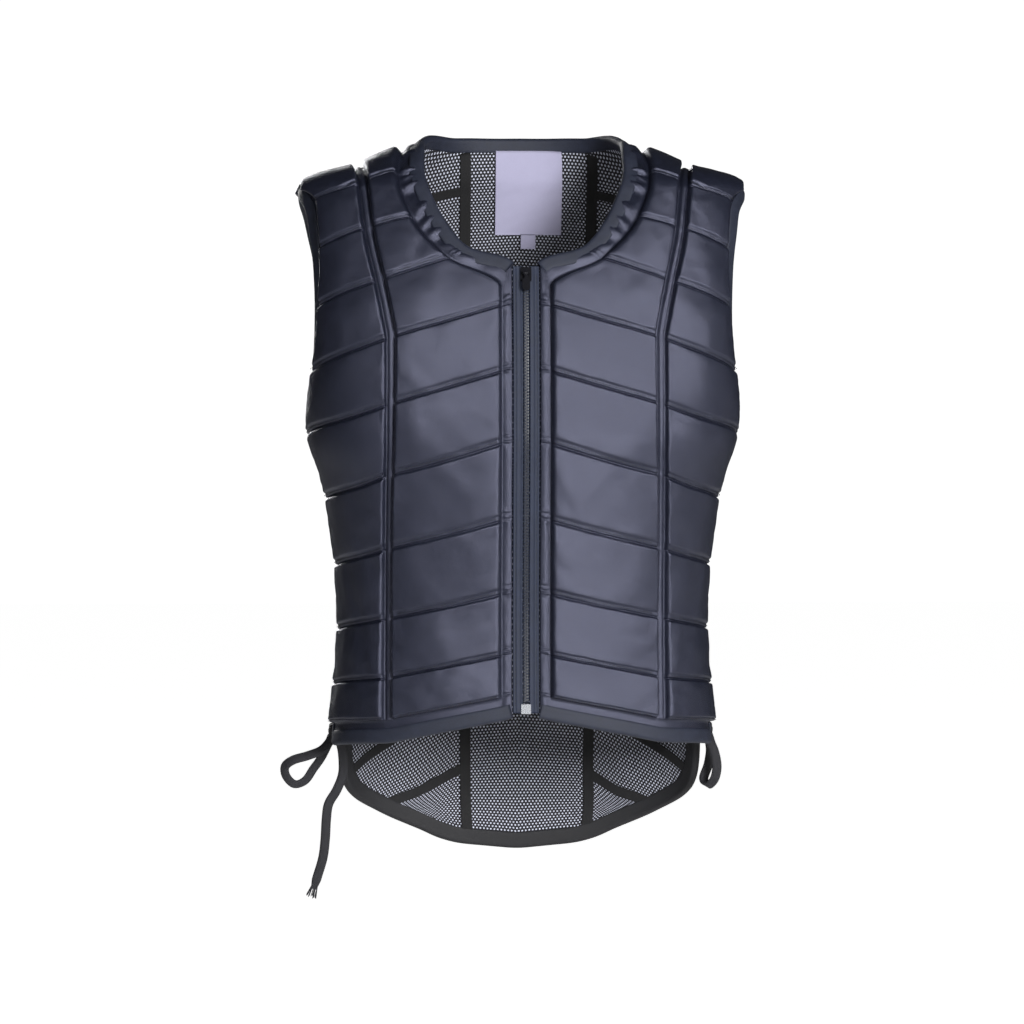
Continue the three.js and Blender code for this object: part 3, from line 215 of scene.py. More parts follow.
@dataclass
class Torso:
    """The form that the vest is shaped on."""

    curves: list[Callable[[np.ndarray], np.ndarray]] = field(default_factory=list)

    def __post_init__(self) -> None:
        """Makes the curves of half width, front, back and squareness."""
        scales = (CHEST, FRONT, BACK, 1.0)
        for k, scale in enumerate(scales):
            self.curves.append(smooth_curve([(r[0] * TORSO, r[k + 1] * scale) for r in SECTIONS]))

    def shape(self, z: np.ndarray, back: np.ndarray) -> tuple[np.ndarray, np.ndarray, np.ndarray]:
        """Half width, depth and squareness at a height."""
        depth = np.where(back, self.curves[2](z), self.curves[1](z))
        return self.curves[0](z), depth, self.curves[3](z)

    def outside(self, p: np.ndarray) -> np.ndarray:
        """Zero on the torso, positive outside it."""
        a, d, n = self.shape(p[..., 2], p[..., 1] >= 0)
        return np.abs(p[..., 0] / a) ** n + np.abs(p[..., 1] / d) ** n - 1

    def gradient(self, p: np.ndarray) -> np.ndarray:
        """The slope of outside() at each point.

        Args:
            p: points, in millimetres.

        Returns:
            The slopes along x, y and z.
        """
        step = 0.01
        parts = []
        for k in range(3):
            d = np.zeros(3)
            d[k] = step
            parts.append((self.outside(p + d) - self.outside(p - d)) / (2 * step))
        return np.stack(parts, -1)

    def normals(self, p: np.ndarray) -> np.ndarray:
        """Directions out of the torso."""
        return unit(self.gradient(p))

    def settle(self, p: np.ndarray) -> np.ndarray:
        """The points moved onto the torso along its own slope.

        Args:
            p: points near the torso.

        Returns:
            The points on it.
        """
        q = p.copy()
        for _ in range(9):
            g = self.gradient(q)
            q = q - g * (self.outside(q) / np.sum(g * g, -1))[..., None]
        return q

    def across(self, x: np.ndarray, z: np.ndarray, facing: Facing) -> np.ndarray:
        """The surface point at a given x and height.

        Args:
            x: how far across.
            z: how high.
            facing: front or back of the torso.

        Returns:
            The points.
        """
        a, d, n = self.shape(z, np.full(np.shape(z), facing is Facing.BACK))
        y = facing.value * d * np.maximum(1 - np.abs(x / a) ** n, 0) ** (1 / n)
        return np.stack(np.broadcast_arrays(x, y, z), -1)

    def beside(self, y: np.ndarray, z: np.ndarray) -> np.ndarray:
        """The surface point at a given y and height, on the +X side."""
        a, d, n = self.shape(z, y >= 0)
        return np.stack(np.broadcast_arrays(a * np.maximum(1 - np.abs(y / d) ** n, 0) ** (1 / n), y, z), -1)

    def ridge(self, x: float, facing: Facing) -> np.ndarray:
        """The shoulder seam's point at x.

        Args:
            x: how far across.
            facing: which side of the ridge it lies on.

        Returns:
            The point, found by halving.
        """
        low, high = SHOULDER_FOOT * TORSO, SECTIONS[-1][0] * TORSO
        for _ in range(40):
            mid = (low + high) / 2
            if float(self.curves[0](mid)) > x:
                low = mid
            else:
                high = mid
        return np.array([x, facing.value * 0.2, low])


TORSO_FORM = Torso()


@dataclass
class SeamLine:
    """One seam line of a panel, followed by row number."""

    rows: list[tuple]
    column: int
    facing: Facing
    least: float = 0.0

    def __post_init__(self) -> None:
        """Makes the line's two curves over row number."""
        self.on_side = self.column == 4
        depth = FRONT if self.facing is Facing.FRONT else BACK
        first = self.rows[0][self.column]
        self.ridge = None
        if first[1] is None:
            self.ridge = TORSO_FORM.ridge(max(first[0] * CHEST, self.least), self.facing)
        a, b = [], []
        for k, row in enumerate(self.rows):
            share, height = row[self.column]
            if k == 0 and self.ridge is not None:
                a.append((row[0], self.ridge[1] if self.on_side else self.ridge[0]))
                b.append((row[0], self.ridge[2]))
                continue
            a.append((row[0], share * depth if self.on_side else max(share * CHEST, self.least)))
            b.append((row[0], height * TORSO))
        self.first, self.height = smooth_curve(a), smooth_curve(b)

    def at(self, v: np.ndarray) -> np.ndarray:
        """Points at row numbers v.

        Args:
            v: row numbers, whole at the seams.

        Returns:
            The points on the torso, or on the ridge at row 0.
        """
        v = np.asarray(v, float)
        a, z = self.first(v), self.height(v)
        points = TORSO_FORM.beside(a, z) if self.on_side else TORSO_FORM.across(a, z, self.facing)
        if self.ridge is not None:
            points = np.where((v < 1e-6)[..., None], self.ridge, points)
        return points


def eased(d: np.ndarray, width: float) -> np.ndarray:
    """A tile's wall: steep at its foot, rounded at its top.

    Args:
        d: distance from the foot, in millimetres.
        width: how far the wall and its rounding reach.

    Returns:
        0 at the foot to 1 on the flat of the tile.
    """
    s = np.clip(d / width, 0, 1)
    return 1 - (1 - s) ** 3.2


def shelf(d: np.ndarray) -> np.ndarray:
    """The lower edge of a tile: a step up from its seam, a narrow shelf, and a rounded rise to the flat.

    Args:
        d: distance from the seam, in millimetres.

    Returns:
        0 at the seam to 1 on the flat of the tile.
    """
    return 0.58 * eased(d, 1.2) + 0.42 * eased(d - 3.6, 2.6)


def ripples(p: np.ndarray, seed: int, size: float) -> np.ndarray:
    """Smooth unevenness in -1 to 1, from a few seeded waves of about the given length.

    Args:
        p: points, in millimetres.
        seed: for the waves' directions, lengths and phases.
        size: the usual wavelength.

    Returns:
        A height for each point.
    """
    rng = np.random.default_rng(seed)
    total = np.zeros(p.shape[:-1])
    for _ in range(7):
        way = unit(rng.normal(size=3))
        k = 2 * math.pi / (size * rng.uniform(0.7, 1.5))
        total += np.sin(p @ way * k + rng.uniform(0, 6.28))
    return total / 7


def ramp(width: float, flat: int) -> np.ndarray:
    """Shares along a tile with samples crowded at its walls; width is its length in millimetres.

    Args:
        width: the tile's length, in millimetres.
        flat: how many samples lie between the walls.

    Returns:
        Shares from 0 to 1.
    """
    near = AT_WALL / width
    middle = np.linspace(near[-1], 1 - near[-1], flat + 2)[1:-1]
    return np.concatenate([near, middle, 1 - near[::-1]])


@dataclass
class Strip:
    """A run of samples between two seam lines, with the widths of a tile's walls at its start and end."""

    start: np.ndarray
    end: np.ndarray
    shares: np.ndarray
    walls: tuple[float, float] | None = None


@dataclass
class Panel:
    """A quilted panel as a fine grid: base points, thickness and lengths for its cloth pattern."""

    base: np.ndarray
    thick: np.ndarray
    normal: np.ndarray
    rows: np.ndarray

    @property
    def outer(self) -> np.ndarray:
        """Points of the outer face."""
        return self.base + self.normal * self.thick[..., None]


def moved(a: np.ndarray, b: np.ndarray, d: float) -> np.ndarray:
    """Points d mm from a towards b, settled on the torso."""
    return TORSO_FORM.settle(a + unit(b - a) * d)


def tile_rows(last: int, ends: dict[int, tuple[float, float]]) -> tuple[np.ndarray, np.ndarray]:
    """Row numbers of a panel and how far each is from the nearest seam, in millimetres.

    Args:
        last: the number of tile rows.
        ends: extra flat share at the start and end of certain rows.

    Returns:
        Row numbers, and distances from the seams above and below (-1 for both on flat cloth).
    """
    rows, feet = [], []
    first, final = ABOVE_SEAM[-1], BELOW_SEAM[-1]
    for r in range(last):
        top, bottom = ends.get(r, (0.0, 0.0))
        low, high = r + top, r + 1 - bottom
        if top:
            rows += list(np.linspace(r, low, 6)[:-1])
            feet += [FLAT_CLOTH] * 5
        span = (high - low) * ROW_HEIGHT
        middle = np.linspace(first, span - final, 13)[1:-1]
        local = np.concatenate([ABOVE_SEAM, middle, span - BELOW_SEAM[::-1]])
        rows += list(low + local / ROW_HEIGHT)
        feet += list(zip(local - FOOT_ABOVE, span - local - FOOT_BELOW))
        if bottom:
            rows += list(np.linspace(high, r + 1, 6)[1:])
            feet += [FLAT_CLOTH] * 5
        else:
            rows.pop()
            feet.pop()
    rows += list(np.linspace(last, last + 1, 9))
    feet += [FLAT_CLOTH] * 9
    return np.array(rows), np.array(feet)


def quilt(strips: Sequence[Strip], rows: np.ndarray, feet: np.ndarray, seed: int) -> Panel:
    """Builds a panel's grid from its strips.

    Args:
        strips: the runs across the panel, each with points for every row.
        rows: row numbers.
        feet: distance of each row from its tile's foot.
        seed: for the small unevenness of the cloth.

    Returns:
        The panel.
    """
    base, thick = [], []
    for strip in strips:
        length = np.linalg.norm(strip.end - strip.start, axis=-1)[:, None]
        t = strip.shares[None, :]
        points = TORSO_FORM.settle(strip.start[:, None] + (strip.end - strip.start)[:, None] * t[..., None])
        flat = np.full(points.shape[:2], CLOTH)
        if strip.walls:
            first, last = strip.walls
            du = np.minimum(t * length + FAR * (not first), (1 - t) * length + FAR * (not last))
            dv = np.maximum(feet, 0).min(1)[:, None] + 0 * t
            wall_u = (eased(t * length, first) if first else 1) * (eased((1 - t) * length, last) if last else 1)
            wall_v = eased(np.maximum(feet[:, :1], 0), TOP_WALL) * shelf(np.maximum(feet[:, 1:], 0)) + 0 * t
            floor = CLOTH + SEAM_RISE * wall_u * (feet[:, :1] > FLAT_CLOTH[0])
            dome = np.clip(du / DOME, 0, 1) * np.clip(dv / DOME, 0, 1)
            flat = floor + (FOAM - floor) * wall_u * wall_v + CROWN * np.sqrt(np.clip(dome, 0, 1))
        base.append(points)
        thick.append(flat)
    points = np.concatenate(base, 1)
    thickness = np.concatenate(thick, 1)
    raised = np.clip((thickness - CLOTH) / (FOAM - CLOTH), 0, 1)
    broad = BROAD_WAVE[0] * ripples(points, seed, BROAD_WAVE[1])
    fine = FINE_WAVE[0] * ripples(points, seed + 1, FINE_WAVE[1])
    thickness += raised * (broad + fine)
    edge = raised * (1 - np.clip((thickness - FOAM + 1.2) / 1.6, 0, 1))
    thickness += edge * EDGE_WAVE[0] * ripples(points, seed + 3, EDGE_WAVE[1])
    border = 1 + ripples(points * [1, 1, 1.4], seed + 2, BORDER_WAVE[1])
    thickness += (1 - raised) * BORDER_WAVE[0] * border
    return Panel(points, thickness, TORSO_FORM.normals(points), rows)


class MeshMaker:
    """Gathers grids of points into one closed mesh with a map in metres."""

    def __init__(self) -> None:
        """Starts with nothing."""
        self.points: list[np.ndarray] = []
        self.maps: list[np.ndarray] = []
        self.faces: list[np.ndarray] = []
        self.slots: list[np.ndarray] = []
        self.count = 0

    def add(self, grid: np.ndarray, flip: bool = False, slot: int = 0, around: bool = False) -> np.ndarray:
        """Adds a grid of points and its faces, and returns the points' numbers.

        Args:
            grid: rows and columns of points.
            flip: turns the faces over.
            slot: the faces' material.
            around: joins the last column to the first.

        Returns:
            The points' numbers, in the grid's form.
        """
        rows, columns = grid.shape[:2]
        index = self.count + np.arange(rows * columns).reshape(rows, columns)
        self.count += rows * columns
        self.points.append(grid.reshape(-1, 3))
        u = np.cumsum(np.linalg.norm(np.diff(grid, axis=1, prepend=grid[:, :1]), axis=-1), 1)
        v = np.cumsum(np.linalg.norm(np.diff(grid, axis=0, prepend=grid[:1]), axis=-1), 0)
        middle = columns // 2
        u = u - u[:, middle : middle + 1] if not around else u
        v = np.repeat(v[:, middle : middle + 1], columns, 1)
        self.maps.append(np.stack([u, v], -1).reshape(-1, 2))
        wrapped = np.concatenate([index, index[:, :1]], 1) if around else index
        quads = np.stack([wrapped[:-1, :-1], wrapped[:-1, 1:], wrapped[1:, 1:], wrapped[1:, :-1]], -1)
        self.join(quads.reshape(-1, 4), flip, slot)
        return index

    def join(self, quads: np.ndarray, flip: bool = False, slot: int = 0) -> None:
        """Adds faces between points that are already there."""
        self.faces.append(quads[:, ::-1] if flip else quads)
        self.slots.append(np.full(len(quads), slot))

    def wall(self, a: np.ndarray, b: np.ndarray, flip: bool, slot: int = 0) -> None:
        """Joins two rows of points."""
        self.join(np.stack([a[:-1], a[1:], b[1:], b[:-1]], -1), flip, slot)

    def cap(self, ring: np.ndarray, flip: bool, slot: int = 0) -> None:
        """Closes a ring of points with strips of quads across it.

        Args:
            ring: the points' numbers, an even count.
            flip: turns the faces over.
            slot: the faces' material.
        """
        n = len(ring)
        quads = [[ring[k], ring[k + 1], ring[n - 2 - k], ring[n - 1 - k]] for k in range(n // 2 - 1)]
        self.join(np.array(quads), flip, slot)

    def closed(self, grid: np.ndarray, slot: int = 0, ring: bool = False) -> None:
        """Adds a closed tube: its rows are sections round it; ring joins its last section to its first.

        Args:
            grid: the sections' points.
            slot: the faces' material.
            ring: joins the last section to the first in place of two caps.
        """
        centre = grid.reshape(-1, 3).mean(0)
        around = np.concatenate([grid, grid[:, :1]], 1) - centre
        if ring:
            around = np.concatenate([around, around[:1]])
        a, b, c, d = around[:-1, :-1], around[:-1, 1:], around[1:, 1:], around[1:, :-1]
        volume = np.sum(a * np.cross(b, c)) + np.sum(a * np.cross(c, d))
        flip = bool(volume < 0)
        index = self.add(grid, flip, slot, around=True)
        if ring:
            first, last = (np.append(index[k], index[k, 0]) for k in (0, -1))
            self.join(np.stack([last[:-1], last[1:], first[1:], first[:-1]], -1), flip, slot)
            return
        self.cap(index[0], flip, slot)
        self.cap(index[-1], not flip, slot)

    def build(self, name: str, side: Side = Side.LEFT) -> bpy.types.Object:
        """Makes the object, mirrored for the right side.

        Args:
            name: the object's name.
            side: RIGHT mirrors the points.

        Returns:
            The object, in metres at the origin.
        """
        co = np.concatenate(self.points) * MM
        faces = np.concatenate(self.faces)
        if side is Side.RIGHT:
            co = co * MIRROR
            faces = faces[:, ::-1]
        mesh = bpy.data.meshes.new(name)
        mesh.from_pydata(co.tolist(), [], faces.tolist())
        mesh.polygons.foreach_set("material_index", np.concatenate(self.slots).astype(np.int32))
        mesh.polygons.foreach_set("use_smooth", np.ones(len(faces), bool))
        layer = mesh.uv_layers.new(name="UVMap")
        uv = np.concatenate(self.maps) / MAP_UNIT
        layer.data.foreach_set("uv", uv[faces.ravel()].astype(np.float32).ravel())
        mesh.validate()
        obj = bpy.data.objects.new(name, mesh)
        bpy.context.scene.collection.objects.link(obj)
        return obj


def settle_cloth(obj: bpy.types.Object, panel: Panel) -> None:
    """Lets the cloth over the tiles find its own small creases in a short simulation.

    The seams, flat borders and inner face are held. Each point takes CREASE_SHARE of its move,
    of which no more than CREASE_CAP counts.

    Args:
        obj: the panel's object, whose first points are the outer face's.
        panel: the panel's form.
    """
    mesh = obj.data
    start = np.empty(len(mesh.vertices) * 3)
    mesh.vertices.foreach_get("co", start)
    start = start.reshape(-1, 3)
    free = np.zeros(len(start), bool)
    free[: panel.thick.size] = (panel.thick > CLOTH + FREE_SHARE * (FOAM - CLOTH)).ravel()
    held = obj.vertex_groups.new(name="held")
    held.add(np.flatnonzero(~free).tolist(), 1.0, "REPLACE")
    modifier = obj.modifiers.new("cloth", "CLOTH")
    cloth = modifier.settings
    cloth.vertex_group_mass = "held"
    cloth.effector_weights.gravity = 0
    cloth.use_pressure = True
    cloth.uniform_pressure_force = CREASE_PRESSURE
    cloth.shrink_min = -CREASE_SPARE
    cloth.quality = 4
    scene = bpy.context.scene
    for frame in range(1, CREASE_FRAMES + 1):
        scene.frame_set(frame)
    settled = obj.evaluated_get(bpy.context.evaluated_depsgraph_get()).to_mesh()
    end = np.empty_like(start).ravel()
    settled.vertices.foreach_get("co", end)
    move = end.reshape(-1, 3) - start
    size = np.linalg.norm(move, axis=1, keepdims=True)
    LOG.info("  cloth moved %.2f mm at most", size.max() / MM)
    move *= CREASE_SHARE * np.minimum(1, CREASE_CAP * MM / np.maximum(size, 1e-9))
    obj.modifiers.clear()
    obj.vertex_groups.clear()
    mesh.vertices.foreach_set("co", (start + move).ravel())
    mesh.update()
    scene.frame_set(1)


def shell_mesh(panel: Panel, inner_slot: int = 1) -> MeshMaker:
    """A closed panel: fine outer face, inner face, and walls round the edge.

    Args:
        panel: the panel's form.
        inner_slot: the inner face's material.

    Returns:
        The mesh, not yet built.
    """
    maker = MeshMaker()
    outer = maker.add(panel.outer)
    inner = maker.add(panel.base, flip=True, slot=inner_slot)
    maker.wall(outer[0], inner[0], flip=True)
    maker.wall(outer[-1], inner[-1], flip=False)
    maker.wall(outer[:, 0], inner[:, 0], flip=False)
    maker.wall(outer[:, -1], inner[:, -1], flip=True)
    return maker


@dataclass(frozen=True)
class Finish:
    """A material's settings."""

    name: str
    colour: tuple[float, float, float]
    roughness: float
    metallic: float = 0.0
    specular: float = 0.5
    tint: tuple[float, float, float] | None = None


class Socket:
    """A shader value that can be added to, multiplied by and compared with others."""

    def __init__(self, shader: Shader, out: bpy.types.NodeSocket) -> None:
        """Keeps the output that carries the value."""
        self.shader, self.out = shader, out

    def _op(self, other: Socket | float, kind: str, turned: bool = False) -> Socket:
        """One Math node on this value and another; turned puts the other first."""
        pair = (other, self) if turned else (self, other)
        return self.shader.maths(kind, *pair)

    def __add__(self, other: Socket | float) -> Socket:
        """The sum."""
        return self._op(other, "ADD")

    def __sub__(self, other: Socket | float) -> Socket:
        """The difference."""
        return self._op(other, "SUBTRACT")

    def __rsub__(self, other: float) -> Socket:
        """A number less this value."""
        return self._op(other, "SUBTRACT", True)

    def __mul__(self, other: Socket | float) -> Socket:
        """The product."""
        return self._op(other, "MULTIPLY")

    def __truediv__(self, other: Socket | float) -> Socket:
        """The quotient."""
        return self._op(other, "DIVIDE")

    def __rtruediv__(self, other: float) -> Socket:
        """A number divided by this value."""
        return self._op(other, "DIVIDE", True)

    __radd__ = __add__
    __rmul__ = __mul__

    def sin(self) -> Socket:
        """The sine."""
        return self._op(0.0, "SINE")

    def fraction(self) -> Socket:
        """What is left after the whole number."""
        return self._op(0.0, "FRACT")

    def floor(self) -> Socket:
        """The whole number below."""
        return self._op(0.0, "FLOOR")

    def size(self) -> Socket:
        """The value without its sign."""
        return self._op(0.0, "ABSOLUTE")

    def power(self, other: Socket | float) -> Socket:
        """This value to a power."""
        return self._op(other, "POWER")

    def least(self, other: Socket | float) -> Socket:
        """The smaller of the two."""
        return self._op(other, "MINIMUM")

    def most(self, other: Socket | float) -> Socket:
        """The larger of the two."""
        return self._op(other, "MAXIMUM")


class Shader:
    """Builds one node material."""

    def __init__(self, finish: Finish) -> None:
        """Starts a material with a finish's plain settings.

        Args:
            finish: the settings.
        """
        self.material = bpy.data.materials.new(finish.name)
        self.material.use_nodes = True
        self.tree = self.material.node_tree
        self.principled = self.tree.nodes["Principled BSDF"]
        self.set("Base Color", (*finish.colour, 1.0))
        self.set("Roughness", finish.roughness)
        self.set("Metallic", finish.metallic)
        self.set("Specular IOR Level", finish.specular)
        if finish.tint:
            self.set("Specular Tint", (*finish.tint, 1.0))

    def node(self, kind: str, inputs: dict[int | str, Any] | None = None, **settings: Any) -> bpy.types.Node:
        """Adds a node.

        Args:
            kind: the node's type.
            inputs: values or links of its sockets.
            settings: the node's own properties, which are set first.

        Returns:
            The node.
        """
        made = self.tree.nodes.new(kind)
        for key, value in settings.items():
            setattr(made, key, value)
        for key, value in (inputs or {}).items():
            self.feed(made.inputs[key], value)
        return made

    def feed(self, socket: bpy.types.NodeSocket, value: Any) -> None:
        """Links or sets an input.

        Args:
            socket: the input.
            value: a shader value to link, or a plain one to set.
        """
        if isinstance(value, Socket):
            self.tree.links.new(value.out, socket)
        else:
            socket.default_value = value

    def set(self, name: str, value: Any) -> None:
        """Sets one of the surface's inputs."""
        self.feed(self.principled.inputs[name], value)

    def maths(self, kind: str, a: Socket | float, b: Socket | float) -> Socket:
        """One step of arithmetic on a and b."""
        return Socket(self, self.node("ShaderNodeMath", {0: a, 1: b}, operation=kind).outputs[0])

    def uv(self) -> tuple[Socket, Socket]:
        """Millimetres across and along the cloth, from the piece's own map.

        Returns:
            The two lengths.
        """
        source = Socket(self, self.node("ShaderNodeUVMap", uv_map="UVMap").outputs["UV"])
        split = self.node("ShaderNodeSeparateXYZ", {0: source})
        return Socket(self, split.outputs[0]) * MAP_UNIT, Socket(self, split.outputs[1]) * MAP_UNIT

    def noise(self, scale: float, detail: float) -> Socket:
        """Noise on the object's own coordinates.

        Args:
            scale: how many features lie along a metre.
            detail: how many finer layers are added.

        Returns:
            A value of about 0 to 1.
        """
        where = Socket(self, self.node("ShaderNodeTexCoord").outputs["Object"])
        inputs = {"Vector": where, "Scale": scale, "Detail": detail}
        return Socket(self, self.node("ShaderNodeTexNoise", inputs).outputs["Fac"])

    def mix(self, factor: Socket, a: Sequence[float], b: Sequence[float]) -> Socket:
        """A colour between a, at a factor of 0, and b, at 1."""
        made = self.node("ShaderNodeMix", {0: factor, 6: (*a, 1.0), 7: (*b, 1.0)}, data_type="RGBA")
        return Socket(self, made.outputs[2])

    def bump(self, height: Socket, distance: float) -> None:
        """Raises the surface by a height in 0 to 1; distance is what 1 stands for, in metres."""
        inputs = {"Strength": 1.0, "Distance": distance, "Height": height}
        self.set("Normal", Socket(self, self.node("ShaderNodeBump", inputs).outputs[0]))


def scaled(colour: Sequence[float], k: float) -> tuple[float, ...]:
    """A colour made lighter or darker."""
    return tuple(min(c * k, 1.0) for c in colour)


class Finishes:
    """Every material of the vest."""

    NYLON = Finish("vest_nylon", (0.0055, 0.0068, 0.0135), 0.41, specular=0.8, tint=(0.72, 0.74, 1.0))
    EDGING = Finish("vest_edging", (0.013, 0.016, 0.029), 0.62, specular=0.35)
    DARK_EDGING = Finish("vest_dark_edging", (0.004, 0.004, 0.006), 0.7)
    MESH = Finish("vest_mesh", (0.006, 0.006, 0.009), 0.85)
    TAPE = Finish("vest_seam_tape", (0.002, 0.002, 0.003), 0.85)
    LABEL = Finish("vest_label", (0.33, 0.32, 0.44), 0.8, specular=0.2)
    ZIP_CLOTH = Finish("vest_zip_cloth", (0.011, 0.016, 0.034), 0.65, specular=0.35)
    ZIP_PLASTIC = Finish("vest_zip_plastic", (0.006, 0.008, 0.016), 0.4)
    DARK_METAL = Finish("vest_dark_metal", (0.012, 0.012, 0.016), 0.25, metallic=0.6)
    BRIGHT_METAL = Finish("vest_bright_metal", (0.75, 0.77, 0.82), 0.22, metallic=1.0)
    BRAID = Finish("vest_braid", (0.004, 0.004, 0.006), 0.65)
    THREAD = Finish("vest_thread", (0.005, 0.006, 0.01), 0.6)
    OPENING = (0.5, 0.52, 0.62)
    PLAIT = 3.2

    def __init__(self) -> None:
        """Makes every material."""
        self.nylon = self.woven(self.NYLON, 0.55, 0.0001)
        self.edging = self.woven(self.EDGING, 0.9, 0.00012)
        self.dark_edging = self.woven(self.DARK_EDGING, 0.9, 0.00012)
        self.zip_cloth = self.woven(self.ZIP_CLOTH, 0.8, 0.0001)
        self.mesh = self.meshed(self.MESH)
        self.tape = self.woven(self.TAPE, 0.8, 0.0001)
        self.label = self.woven(self.LABEL, 0.6, 0.00002, 0.15)
        self.braid = self.braided(self.BRAID)
        self.zip_plastic = Shader(self.ZIP_PLASTIC).material
        self.dark_metal = Shader(self.DARK_METAL).material
        self.bright_metal = Shader(self.BRIGHT_METAL).material
        self.thread = Shader(self.THREAD).material

    @staticmethod
    def woven(finish: Finish, pitch: float, depth: float, contrast: float = 1.6) -> bpy.types.Material:
        """Plain weave with a soft mottle.

        Args:
            finish: the cloth's settings.
            pitch: a thread's width in millimetres.
            depth: how far the threads stand up, in metres.
            contrast: how strong the mottle is.

        Returns:
            The material.
        """
        shader = Shader(finish)
        u, v = shader.uv()
        k = 2 * math.pi / pitch
        weave = (u * k).sin() * (v * k).sin() * 0.5 + 0.5
        mottle = shader.noise(140.0, 3.0) * 0.5 + shader.noise(850.0, 2.0) * 0.5
        shader.bump(weave * 0.7 + mottle * 0.5, depth)
        shade = (mottle - 0.5) * contrast + 0.5 + (weave - 0.5) * 0.12
        shader.set("Base Color", shader.mix(shade, scaled(finish.colour, 0.6), scaled(finish.colour, 1.4)))
        shader.set("Roughness", mottle * 0.16 + (finish.roughness - 0.08))
        return shader.material

    @staticmethod
    def meshed(finish: Finish) -> bpy.types.Material:
        """Net with staggered light openings.

        Args:
            finish: the net's settings.

        Returns:
            The material.
        """
        shader = Shader(finish)
        u, v = shader.uv()
        pitch, rise, reach, soft = 3.1, 2.65, 0.95, 0.3
        row = (v / rise).floor()
        shift = (row * 0.5).fraction()
        a = (u / pitch + shift).fraction() - 0.5
        b = (v / rise).fraction() - 0.5
        away = (a * a * (pitch * pitch) + b * b * (rise * rise)).power(0.5)
        dot = (reach - away).most(0.0).least(soft) / soft
        shader.set("Base Color", shader.mix(dot, finish.colour, Finishes.OPENING))
        shader.bump(1.0 - dot, 0.0004)
        return shader.material

    @staticmethod
    def braided(finish: Finish) -> bpy.types.Material:
        """Diagonal plaits on a flat cord, with painted shade in the grooves between them and a painted
        highlight on their ridges.

        Args:
            finish: the cord's settings.

        Returns:
            The material.
        """
        shader = Shader(finish)
        u, v = shader.uv()
        k = 2 * math.pi / Finishes.PLAIT
        a, b = ((u + v) * k).sin(), ((u - v) * k).sin()
        plait_height_and_shade = a.size().most(b.size())
        shader.bump(plait_height_and_shade, 0.0005)
        # The colour follows the plaits' height: painted shade in the grooves, painted highlight on the ridges.
        shader.set("Base Color", shader.mix(plait_height_and_shade, scaled(finish.colour, 0.4), scaled(finish.colour, 2.2)))
        return shader.material


def dress(
    obj: bpy.types.Object, slot: str, nodes: Sequence[str], *materials: bpy.types.Material
) -> bpy.types.Object:
    """Gives a piece its materials and its body, and hides the CAD nodes that it stands for.

    Args:
        obj: the piece.
        slot: not used.
        nodes: the CAD nodes that it takes the place of.
        materials: its materials, in the order of its faces' slots.

    Returns:
        The piece.
    """
    for material in materials:
        obj.data.materials.append(material)
    if nodes:
        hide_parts(*nodes)
    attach(obj, "vest")
    return obj


